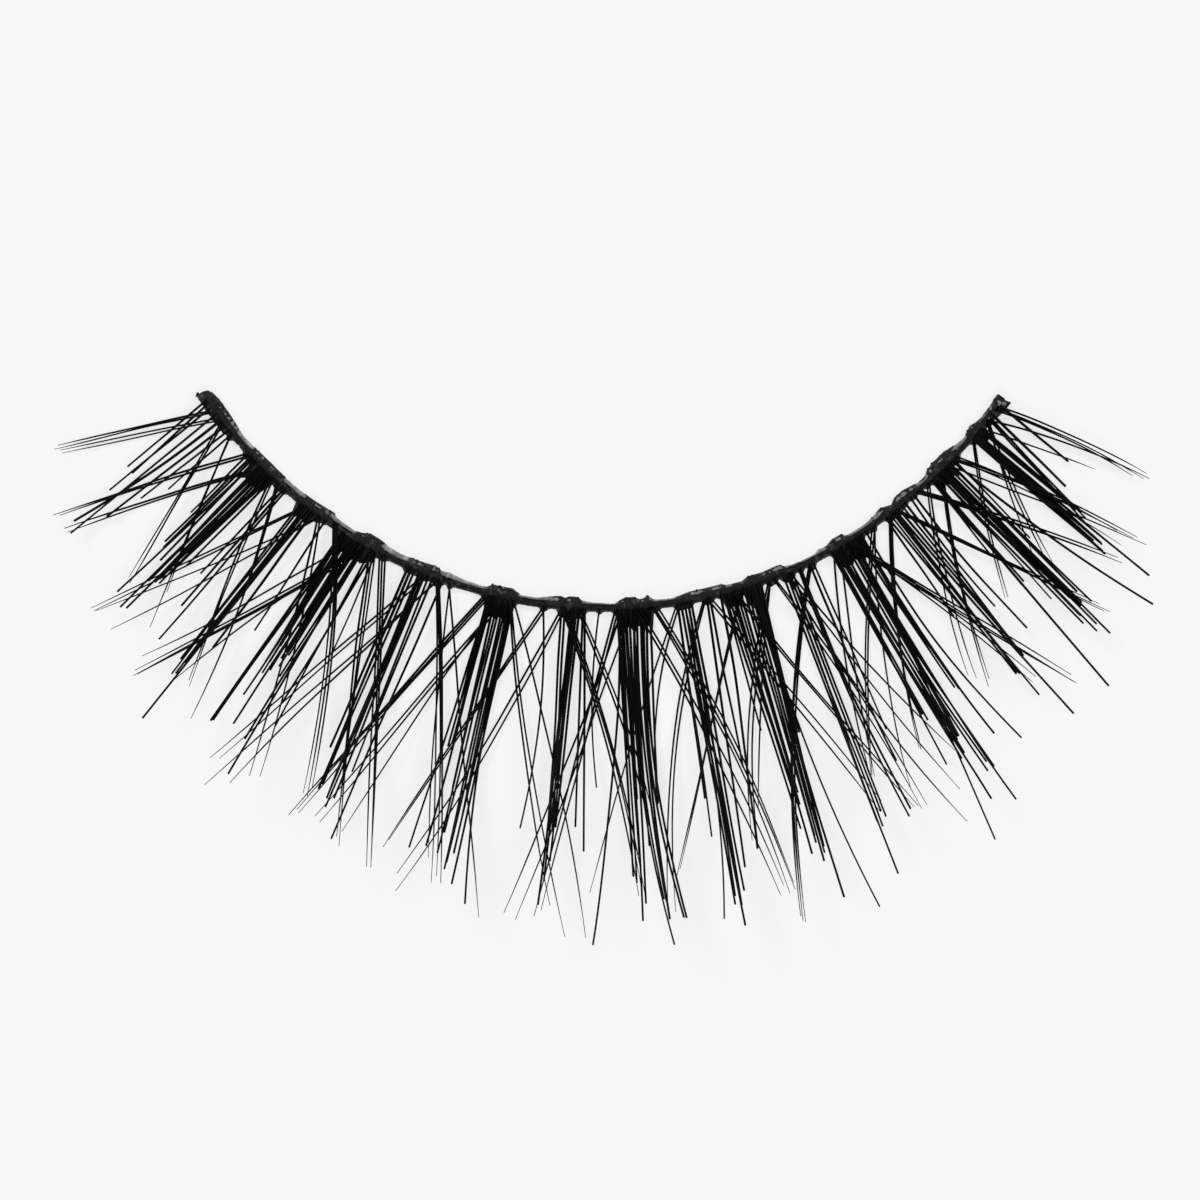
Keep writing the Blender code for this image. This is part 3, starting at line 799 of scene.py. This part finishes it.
def addTube(verts, faces, uvs, tones, path, radii, tone, sides):
    base = len(verts)
    travelled = 0.0
    nearlyUpright = 0.2      # share of a hair's direction that is left level
    shiftAround, shiftAlong = lashes["streakShift"]
    for i, point in enumerate(path):
        ahead = path[min(i + 1, len(path) - 1)]
        before = path[max(i - 1, 0)]
        along = (ahead - before).normalized()
        across = along.cross(Vector((0.0, 0.0, 1.0)))
        if across.length < nearlyUpright:
            across = along.cross(Vector((1.0, 0.0, 0.0)))
        across.normalize()
        up = across.cross(along)
        travelled += (point - before).length if i else 0.0
        for k in range(sides):
            angle = 2 * math.pi * k / sides
            verts.append(point + (across * math.cos(angle) + up * math.sin(angle)) * radii[i])
            uvs.append((k / sides + tone * shiftAround, travelled + tone * shiftAlong))
            tones.append(tone)
    # these rings turn the other way round, so the faces are turned too
    faces.extend((a, d, c, b) for a, b, c, d in ringQuads(base, len(path), sides))
    faces.extend(tuple(reversed(cap)) for cap in ringCaps(base, len(path), sides))


def fullRow(row):
    given = len(row) - 3     # root, tip and reach are always there
    return row + lashes["usual"][given:]


def makeLashes(number, tuft):
    verts, faces, uvs, tones, roots = [], [], [], [], []
    rng = random.Random(lashes["seed"] + number)
    layers = {"left": 0, "straight": 1 + number % 2, "right": 3}     # neighbouring blocks differ
    for kind, layer in layers.items():
        tipGap = lashes["bluntGap"] if kind == "straight" else lashes["wingGap"]
        for rowIndex, row in enumerate(tuft[kind]):
            root, tip, reach, hairs, bow, thick = fullRow(row)
            for i in range(hairs):
                share = i / (hairs - 1) if hairs > 1 else 0.5
                fromMiddle = i - (hairs - 1) / 2
                hairRoot = spanAt(root, share) + rng.uniform(-1, 1) * lashes["rootWander"]
                if not isinstance(root, tuple):
                    hairRoot += fromMiddle * lashes["rootGap"]
                shuffled = min(max(share + rng.uniform(-1, 1) * lashes["shuffle"], 0.0), 1.0)
                hairTip = spanAt(tip, shuffled)
                if hairs > 1:
                    hairTip += rng.uniform(-1, 1) * lashes["tipWander"]
                if not isinstance(tip, tuple):
                    hairTip += fromMiddle * tipGap
                hairThick = thick * lashes["thickness"] * (1 + rng.uniform(-1, 1) * lashes["thickWander"])
                hairReach = spanAt(reach, rng.random())
                if hairs > 1:
                    hairReach *= 1 - lashes["reachWander"] * rng.random()
                hairSeed = number * 1000 + rowIndex * 50 + i     # one of its own
                path = hairPath(hairRoot, hairTip, hairReach, bow, layer, hairSeed)
                radii = hairRadii(kind, hairThick, len(path))
                if kind == "straight":
                    path.append(path[-1] + (path[-1] - path[-2]).normalized() * lashes["cutEdge"])
                    radii.append(radii[-1] * lashes["cutFace"])
                addTube(verts, faces, uvs, tones, path, radii, rng.random(), lashes["sides"])
                roots.append((hairRoot, hairTip, hairReach))
    name = f"tuft_{number:02d}"
    piece = addPiece(name.replace("tuft", "lashes"), verts, faces, uvs, lashHair, tones)
    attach(piece, body)
    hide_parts(name)
    return roots


rootsOfTuft = {}
for number, tuft in tufts.items():
    rootsOfTuft[number] = makeLashes(number, tuft)
print("lashes made:", sum(len(roots) for roots in rootsOfTuft.values()))


# Clots and drops: small balls dented by noise, kept above the surface
clotShape = {
    "rings": 7,
    "sides": 12,
    "dentScale": 9.0,        # per mm
    "dents": 0.45,           # share of the radius
    "lowest": 0.012,         # mm
}


def addLump(verts, faces, uvs, centre, radius, flat, dents=clotShape["dents"]):
    base = len(verts)
    rings, sides = clotShape["rings"], clotShape["sides"]
    for i in range(rings + 1):
        tilt = math.pi * i / rings
        for k in range(sides):
            turn = 2 * math.pi * k / sides
            level = math.sin(tilt)
            ray = Vector((level * math.cos(turn), level * math.sin(turn), math.cos(tilt) * flat))
            point = centre + ray * radius
            point += ray * (noise.noise(point * clotShape["dentScale"]) * dents * radius)
            point.z = max(point.z, clotShape["lowest"])
            verts.append(point)
            uvs.append((k / sides + centre.x, i / rings + centre.y))
    faces.extend(ringQuads(base, rings + 1, sides))


# Thread band: two stiffened black strands side by side, with clots of glue at the knots
threadBand = {
    "strandRadius": 0.088,   # mm
    "strandOffset": 0.079,   # mm from the band's middle line,
    "offsetShares": (0.82, 0.18),    # of which this share stays and this share sways
    "turnLength": 11.0,      # percent, for one slow turn of the strands about each other
    "strandLift": 0.035,
    "strandTall": 1.25,      # height of a strand for its width
    "strandWander": 0.10,    # share of the radius
    "wanderScale": 0.6,      # per percent
    "middleHeight": 0.165,
    "step": 0.12,            # percent
    "sides": 14,
    "lumpiness": 0.020,      # mm
    "lumps": [(2.3, 1.0), (6.1, 0.6), (15.0, 0.45)],     # per mm, share of the lumpiness
    "around": 2,             # times the streaks repeat round a strand
    "twist": 0.30,           # how fast the fibres run round it
    # clots standing up from the inner edge: percent
    "clots": [
        1.6, 3.1, 8.6, 11.5, 16.4, 18.7, 23.4, 24.5, 29.3, 31.2, 38.2, 39.7, 45.2, 46.7, 52.8, 54.7,
        60.4, 62.5, 66.0, 69.1, 76.4, 82.1, 84.9, 89.4, 91.1, 95.4,
    ],
    "clotSeed": 7,
    "clotsPerPlace": 3,
    "clotScatter": 0.6,      # percent
    "clotRadius": (0.035, 0.065),
    "clotInset": (0.4, 1.2),     # radii in from the edge
    "clotHeight": (0.12, 0.30),
    "clotFlat": (0.7, 1.1),
    # little hook and crumbs on the ends: percent, distance outward, height, radius (mm)
    "crumbs": [
        (-0.74, 0.21, 0.12, 0.060), (-0.62, 0.27, 0.14, 0.050), (99.75, -0.12, 0.24, 0.060),
        (99.9, 0.36, 0.18, 0.050),
    ],
    "crumbFlat": 0.85,
    "crumbDents": 0.25,
}

# Ends of the band, set in glue: percent, inner edge, outer edge, height (mm)
bandEnds = {
    "left": [
        (-0.66, 0.06, 0.18, 0.14), (-0.60, -0.06, 0.24, 0.22), (-0.42, -0.18, 0.29, 0.28),
        (-0.1, -0.24, 0.30, 0.31), (0.4, -0.28, 0.29, 0.33), (1.2, -0.31, 0.26, 0.34),
        (2.6, -0.30, 0.23, 0.33), (3.8, -0.26, 0.20, 0.30), (4.7, -0.15, 0.16, 0.20),
    ],
    "right": [
        (96.2, -0.10, 0.16, 0.20), (97.2, -0.13, 0.28, 0.31), (98.4, -0.15, 0.37, 0.33),
        (99.3, -0.16, 0.40, 0.34), (99.78, -0.17, 0.41, 0.33), (99.86, -0.15, 0.39, 0.30),
    ],
    "rightSlant": 0.55,      # percent per mm, the right end is cut a little askew
    "step": 0.05,            # percent
    "sides": 20,
    "squareness": 0.6,       # 1 is round, smaller is squarer
    "underside": 0.02,       # mm
    "lumps": [(5.0, 0.030), (14.0, 0.014)],      # per mm, mm
    "lowest": 0.01,
}


def squared(value):
    return math.copysign(abs(value) ** bandEnds["squareness"], value)


def addEnd(verts, faces, uvs, stations, slant):
    # a rounded block of thread and glue, drawn out along the band
    base = len(verts)
    sides = bandEnds["sides"]
    under = bandEnds["underside"]
    first, last = stations[0][0], stations[-1][0]
    count = int((last - first) / bandEnds["step"]) + 1
    for i in range(count):
        percent = first + (last - first) * i / (count - 1)
        near, far, top = readOff(stations, percent)
        middle, half = (near + far) / 2, (far - near) / 2
        for k in range(sides):
            angle = 2 * math.pi * k / sides
            across, up = squared(math.cos(angle)), squared(math.sin(angle))
            d = middle + half * across
            z = under + (top - under) / 2 * (1 + up)
            push = lumpsAt(bandPoint(percent + slant * (d - middle), d, z), bandEnds["lumps"])
            d += across * push
            z = max(z + up * push, bandEnds["lowest"])
            verts.append(bandPoint(percent + slant * (d - middle), d, z))
            uvs.append((k / sides * threadBand["around"], percent * mmPerPercent))
    faces.extend(ringQuads(base, count, sides))
    faces.extend(ringCaps(base, count, sides))


def addStrand(verts, faces, uvs, settings, strand):
    base = len(verts)
    count = int(100 / settings["step"]) + 1
    sides = settings["sides"]
    side = 1 if strand else -1
    still, sway = settings["offsetShares"]
    for i in range(count):
        percent = 100 * i / (count - 1)
        turn = 2 * math.pi * percent / settings["turnLength"] + math.pi * strand
        spread = settings["strandOffset"] * (still + sway * math.cos(turn * 0.5)) * side
        lift = settings["strandLift"] * math.sin(turn)
        radius = settings["strandRadius"]
        wander = alongNoise(percent, settings["wanderScale"], strand * 5.0, 2.0)
        radius *= 1 + settings["strandWander"] * wander
        for k in range(sides):
            angle = 2 * math.pi * k / sides
            d = driftAt(percent) + spread + radius * math.cos(angle)
            z = settings["middleHeight"] + lift + radius * settings["strandTall"] * math.sin(angle)
            push = lumpsAt(bandPoint(percent, d, z), settings["lumps"]) * settings["lumpiness"]
            z = max(z + math.sin(angle) * push, 0.0)
            verts.append(bandPoint(percent, d + math.cos(angle) * push, z))
            uvs.append((k / sides * settings["around"] + percent * settings["twist"], percent * mmPerPercent))
    faces.extend(ringQuads(base, count, sides))
    faces.extend(ringCaps(base, count, sides))


def addClots(verts, faces, uvs, settings):
    rng = random.Random(settings["clotSeed"])
    scatter = settings["clotScatter"]
    for place in settings["clots"]:
        for i in range(settings["clotsPerPlace"]):
            percent = place + rng.uniform(-scatter, scatter)
            radius = rng.uniform(*settings["clotRadius"])
            d = -innerEdgeAt(percent) + radius * rng.uniform(*settings["clotInset"])
            centre = bandPoint(percent, d, rng.uniform(*settings["clotHeight"]))
            addLump(verts, faces, uvs, centre, radius, rng.uniform(*settings["clotFlat"]))


def makeThreadBand(settings):
    verts, faces, uvs = [], [], []
    for strand in (0, 1):
        addStrand(verts, faces, uvs, settings, strand)
    addClots(verts, faces, uvs, settings)
    addEnd(verts, faces, uvs, bandEnds["left"], 0.0)
    addEnd(verts, faces, uvs, bandEnds["right"], bandEnds["rightSlant"])
    for percent, d, z, radius in settings["crumbs"]:
        centre = bandPoint(percent, d, z)
        addLump(verts, faces, uvs, centre, radius, settings["crumbFlat"], settings["crumbDents"])
    piece = addPiece("thread_band", verts, faces, uvs, lashThread)
    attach(piece, body)
    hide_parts("band")


makeThreadBand(threadBand)
print("thread band made")


# Knots: hair roots bound to the band and soaked in black glue, webbed between the hairs
knots = {
    "step": 0.06,            # percent
    "rows": 19,
    "rowsOnBand": 0.5,       # share of the rows that lie over the band
    "leavesAt": 0.25,        # half turns over the band's outer edge where the web leaves it
    "overhang": 0.9,         # percent past the head on each side,
    "endFade": 0.8,          # of which this much thins out
    "stripEnd": 1.0,         # percent, no thinning this near the strip's own ends
    "bandHalf": 0.155,       # mm
    "bandTop": 0.30,         # mm
    "cover": 0.07,           # mm over the band
    "leastCover": 0.6,       # share of it where there are no hairs
    "webReach": 0.22,        # mm past the band's edge beside a few hairs
    "webAt": 0.35,           # mm outward, where a hair's place in the web is taken
    "webEdge": 0.13,         # mm high at its rim
    "hairFillet": 0.26,      # percent, how far the web spreads from a hair
    "hairShare": 0.55,       # what one hair adds to the web
    "thickness": 0.096,      # mm
    "rimThickness": 0.06,
    "lowest": 0.02,
    "rimLowest": 0.03,
    "undercut": 0.97,        # the rim's lower side is drawn in
    "bareEdge": 0.08,        # mm, inner edge where a knot leaves the glue film bare
    "bareFade": 0.5,         # percent
    "ridge": 0.022,          # mm, relief that runs with the hairs
    "ridgeScale": (5.5, 0.8),    # along and out from the band
    "lump": 0.012,
    "lumpScale": 4.0,
    "streakScale": (2.2, 1.2),
    "underShift": 5.0,       # moves the underside's streaks off the top's
    # stretches with bare glue on the inner side: from, to (percent)
    "bare": [
        (4.9, 7.6), (12.2, 15.0), (18.9, 22.0), (25.2, 28.3), (31.9, 37.0), (40.8, 44.0),
        (47.6, 51.5), (55.3, 57.8), (69.9, 73.8), (77.5, 80.8), (86.8, 88.3), (92.8, 94.4),
    ],
    # where hairs are bound into one dark fan: from, to (percent), reach past the band's edge (mm)
    "fans": [
        (0.3, 4.4, 0.12), (8.6, 11.5, 0.62), (15.0, 17.2, 0.42), (20.6, 24.4, 0.56),
        (28.2, 31.4, 0.10), (37.4, 40.4, 0.66), (45.2, 47.4, 0.28), (51.7, 55.1, 0.66),
        (57.7, 59.4, 0.16), (62.7, 64.7, 0.50), (65.0, 66.8, 0.60), (69.2, 70.6, 0.22),
        (75.2, 78.6, 0.66), (82.3, 83.4, 0.08), (88.3, 91.0, 0.42), (94.4, 96.1, 0.44),
        (97.0, 99.1, 0.14),
    ],
    "fanEdge": (-0.35, 0.25),    # percent over which a fan's side rises
    "ragged": 0.35,          # share of the reach
    "raggedScale": 2.1,      # per percent
}


def hairFill(percent, roots):
    # how full of hair roots a place is, from 0 to 1
    crowd = 0.0
    for root, tip, reach in roots:
        out = root + (tip - root) * knots["webAt"] / reach
        crowd += math.exp(-((percent - out) / knots["hairFillet"]) ** 2) * knots["hairShare"]
    return 1 - math.exp(-crowd)


def fanReach(percent):
    ragged = 1 + knots["ragged"] * alongNoise(percent, knots["raggedScale"], 4.0)
    reach = 0.0
    for first, last, most in knots["fans"]:
        inside = smooth(*knots["fanEdge"], min(percent - first, last - percent))
        reach = max(reach, most * inside * ragged)
    return reach


def knotEnds(percent, first, last):
    # 1 inside a knot, 0 at its ends, and no thinning where it ends with the strip
    fade = knots["endFade"]
    if first <= 0.0 and percent < knots["stripEnd"]:
        return smooth(0.0, fade, last - percent)
    if last >= 100.0 and percent > 100.0 - knots["stripEnd"]:
        return smooth(0.0, fade, percent - first)
    return min(smooth(0.0, fade, percent - first), smooth(0.0, fade, last - percent))


def knotRow(t, inner, outer, web, top):
    # distance outward and height at share t of the way over the band and down the web
    base = knots["bandTop"] * 0.5    # half way up the band
    leave = math.pi * knots["leavesAt"]
    if t < knots["rowsOnBand"]:
        angle = math.pi * (1 - t * (1 - knots["leavesAt"]) / knots["rowsOnBand"])
        width = inner if math.cos(angle) < 0 else outer
        return width * math.cos(angle), base + (top - base) * math.sin(angle)
    share = (t - knots["rowsOnBand"]) / (1 - knots["rowsOnBand"])
    startOut = outer * math.cos(leave)
    startHeight = base + (top - base) * math.sin(leave)
    out = startOut + (web - startOut) * share
    return out, startHeight + (knots["webEdge"] - startHeight) * smooth(0.0, 1.0, share)


def knotRing(percent, number, first, last, roots):
    # rows of the top side: distance outward, height without and with its relief
    ends = knotEnds(percent, first, last)
    fill = hairFill(percent, roots)
    drift = driftAt(percent)
    outer = knots["bandHalf"] + drift
    web = outer + max(knots["webReach"] * fill, fanReach(percent)) * ends
    bare = max(smooth(0.0, knots["bareFade"], min(percent - a, b - percent)) for a, b in knots["bare"])
    least = knots["bareEdge"] - drift
    inner = least + (innerEdgeAt(percent) - knots["bareEdge"] + drift) * ends * (1 - bare)
    top = knots["bandTop"] + knots["cover"] * ends * (knots["leastCover"] + fill)
    ring = []
    for k in range(knots["rows"]):
        d, z = knotRow(k / (knots["rows"] - 1), inner, outer, web, top)
        alongScale, outScale = knots["ridgeScale"]
        ridge = alongNoise(percent, alongScale, d * outScale, number * 7.0) * knots["ridge"] * ends
        lump = noise.noise(bandPoint(percent, d, z) * knots["lumpScale"]) * knots["lump"]
        ring.append((d, z, z + ridge + lump))
    return ring


def knotFaces(count, rows):
    # top and underside, the two rims along the knot, then its two ends
    faces = []
    stride = rows * 2
    for i in range(count - 1):
        for k in range(rows - 1):
            a = i * stride + k
            b = a + rows
            faces.append((a, a + 1, a + 1 + stride, a + stride))
            faces.append((b, b + stride, b + 1 + stride, b + 1))
        for k in (0, rows - 1):
            a = i * stride + k
            b = a + rows
            quad = (a, a + stride, b + stride, b)
            faces.append(quad if k == 0 else tuple(reversed(quad)))
    for i in (0, count - 1):
        for k in range(rows - 1):
            a = i * stride + k
            b = a + rows
            quad = (a, b, b + 1, a + 1)
            faces.append(quad if i == 0 else tuple(reversed(quad)))
    return faces


def makeKnot(number, head, roots):
    first = max(head[0] - knots["overhang"], 0.0)
    last = min(head[1] + knots["overhang"], 100.0)
    count = int((last - first) / knots["step"]) + 1
    rows = knots["rows"]
    streakAlong, streakOut = knots["streakScale"]
    verts, uvs = [], []
    for i in range(count):
        percent = first + (last - first) * i / (count - 1)
        ring = knotRing(percent, number, first, last, roots)
        for d, z, raised in ring:
            verts.append(bandPoint(percent, d, raised))
            uvs.append((percent * streakAlong, d * streakOut))
        for k, (d, z, raised) in enumerate(ring):
            low = max(knots["lowest"], z - knots["thickness"])
            if k in (0, rows - 1):
                low = max(knots["rimLowest"], z - knots["rimThickness"])
            verts.append(bandPoint(percent, d * (knots["undercut"] if k == rows - 1 else 1.0), low))
            uvs.append((percent * streakAlong, d * streakOut + knots["underShift"]))
    piece = addPiece(f"knot_{number:02d}", verts, knotFaces(count, rows), uvs, knotThread)
    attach(piece, body)
    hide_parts(f"tuft_{number:02d}")


for number, roots in rootsOfTuft.items():
    makeKnot(number, tufts[number]["head"], roots)
print("knots made")


# Clear glue: a thin, uneven film along the inner side of the band; its light grey is partly the glue's own
# and partly painted glint
glueFilm = {
    "from": 1.0,
    "to": 99.2,
    "step": 0.10,            # percent
    "sides": 12,
    "endFade": 0.8,          # percent
    "endWidth": 0.3,         # share of the width left at the film's ends
    "nearEdge": -0.04,       # mm, where it starts over the inner strand
    "farEdge": 0.015,        # mm short of the band's inner edge
    "narrowest": 0.05,
    "top": 0.345,
    "droop": 0.20,           # share of the height lost on the inner side
    "wander": 0.022,
    "fineShare": 0.6,        # of the wander, at the far edge
    "slowScale": 0.9,        # per percent
    "fineScale": 3.1,
    # drops of clear glue where glints show, their light grey partly painted glint: percent, distance outward,
    # height, radius (mm)
    "glueDropsAtGlints": [
        (39.0, -0.24, 0.25, 0.060), (62.7, -0.22, 0.27, 0.040), (68.5, -0.24, 0.27, 0.045),
        (95.4, -0.24, 0.27, 0.055), (99.2, 0.05, 0.30, 0.115), (99.45, 0.22, 0.29, 0.100),
        (98.3, -0.05, 0.31, 0.075), (97.3, 0.08, 0.33, 0.050), (92.6, -0.08, 0.33, 0.050),
    ],
    "dropFlat": 0.8,
    "dropDents": 0.3,
}


def makeGlueFilm(settings):
    verts, faces, uvs = [], [], []
    first, last = settings["from"], settings["to"]
    fade, endWidth = settings["endFade"], settings["endWidth"]
    count = int((last - first) / settings["step"]) + 1
    sides = settings["sides"]
    for i in range(count):
        percent = first + (last - first) * i / (count - 1)
        slow = alongNoise(percent, settings["slowScale"], 3.0)
        fine = alongNoise(percent, settings["fineScale"], 9.0)
        ends = min(smooth(0.0, fade, percent - first), smooth(0.0, fade, last - percent))
        far = -innerEdgeAt(percent) + settings["farEdge"]
        far -= settings["wander"] * (slow + settings["fineShare"] * fine)
        near = max(settings["nearEdge"], far + settings["narrowest"])
        middle = (near + far) / 2
        half = (near - far) / 2 * (endWidth + (1 - endWidth) * ends)
        top = settings["top"] + settings["wander"] * (fine + slow)
        for k in range(sides):
            angle = 2 * math.pi * k / sides
            d = middle + half * math.cos(angle)
            z = top / 2 * (1 + math.sin(angle))
            z -= settings["droop"] * top * max(0.0, -math.cos(angle)) * max(0.0, math.sin(angle))
            verts.append(bandPoint(percent, d, z))
            uvs.append((k / sides, percent * mmPerPercent))
    faces.extend(ringQuads(0, count, sides))
    faces.extend(ringCaps(0, count, sides))
    for percent, d, z, radius in settings["glueDropsAtGlints"]:
        centre = bandPoint(percent, d, z)
        addLump(verts, faces, uvs, centre, radius, settings["dropFlat"], settings["dropDents"])
    piece = addPiece("glue_film", verts, faces, uvs, glueWithPaintedGlint)
    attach(piece, body)
    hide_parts("glue_line")


makeGlueFilm(glueFilm)
print("glue film made")


# Floor, light and camera
studio = {
    "floor": 0.30,           # its grey,
    "floorGlow": 0.712,      # and it is a lit opal sheet, so hardly any shadow shows
    "floorRoughness": 0.95,
    "floorHalf": 1.5,        # m, half its side
    "world": 0.22,
    "softBoxes": [
        # position (m), size (m), power (W)
        ((-0.30, 0.42, 0.55), 0.22, 1.75),
        ((0.42, 0.20, 0.60), 0.40, 1.5),
        ((0.05, -0.50, 0.50), 0.40, 0.9),
    ],
    "cameraHeight": 0.9,     # m
    "frameWidth": 0.04235,   # m, what the picture spans on the floor
    "frameCentre": (-0.00014, 0.00021),
    "sensor": 36.0,          # mm
    "clip": (0.05, 10.0),    # m
}


def makeFloor(settings):
    mesh = bpy.data.meshes.new("floor")
    h = settings["floorHalf"]
    mesh.from_pydata([(-h, -h, 0), (h, -h, 0), (h, h, 0), (-h, h, 0)], [], [(0, 1, 2, 3)])
    floor = bpy.data.objects.new("floor", mesh)
    bpy.context.scene.collection.objects.link(floor)
    material, _, shader = newMaterial("paleFloor")
    shader.inputs["Base Color"].default_value = (settings["floor"],) * 3 + (1.0,)
    shader.inputs["Roughness"].default_value = settings["floorRoughness"]
    shader.inputs["Specular IOR Level"].default_value = 0.0
    shader.inputs["Emission Color"].default_value = (1.0, 1.0, 1.0, 1.0)
    shader.inputs["Emission Strength"].default_value = settings["floorGlow"]
    mesh.materials.append(material)


def makeLights(settings):
    world = bpy.data.worlds.new("studio")
    world.use_nodes = True
    sky = world.node_tree.nodes["Background"]
    sky.inputs["Color"].default_value = (1.0, 1.0, 1.0, 1.0)
    sky.inputs["Strength"].default_value = settings["world"]
    bpy.context.scene.world = world
    for i, (place, size, power) in enumerate(settings["softBoxes"]):
        lamp = bpy.data.lights.new(f"softBox{i}", "AREA")
        lamp.shape = "SQUARE"
        lamp.size = size
        lamp.energy = power
        holder = bpy.data.objects.new(lamp.name, lamp)
        bpy.context.scene.collection.objects.link(holder)
        holder.location = place
        holder.rotation_euler = (-Vector(place)).to_track_quat("-Z", "Y").to_euler()


def makeCamera(settings):
    # straight above the strip, looking down
    eye = bpy.data.cameras.new("camera")
    eye.sensor_width = settings["sensor"]
    eye.lens = settings["sensor"] * settings["cameraHeight"] / settings["frameWidth"]
    eye.clip_start, eye.clip_end = settings["clip"]
    camera = bpy.data.objects.new("camera", eye)
    bpy.context.scene.collection.objects.link(camera)
    camera.location = (*settings["frameCentre"], settings["cameraHeight"])
    bpy.context.scene.camera = camera
    bpy.context.scene.view_settings.view_transform = "Standard"


makeFloor(studio)
makeLights(studio)
makeCamera(studio)
print("studio made")
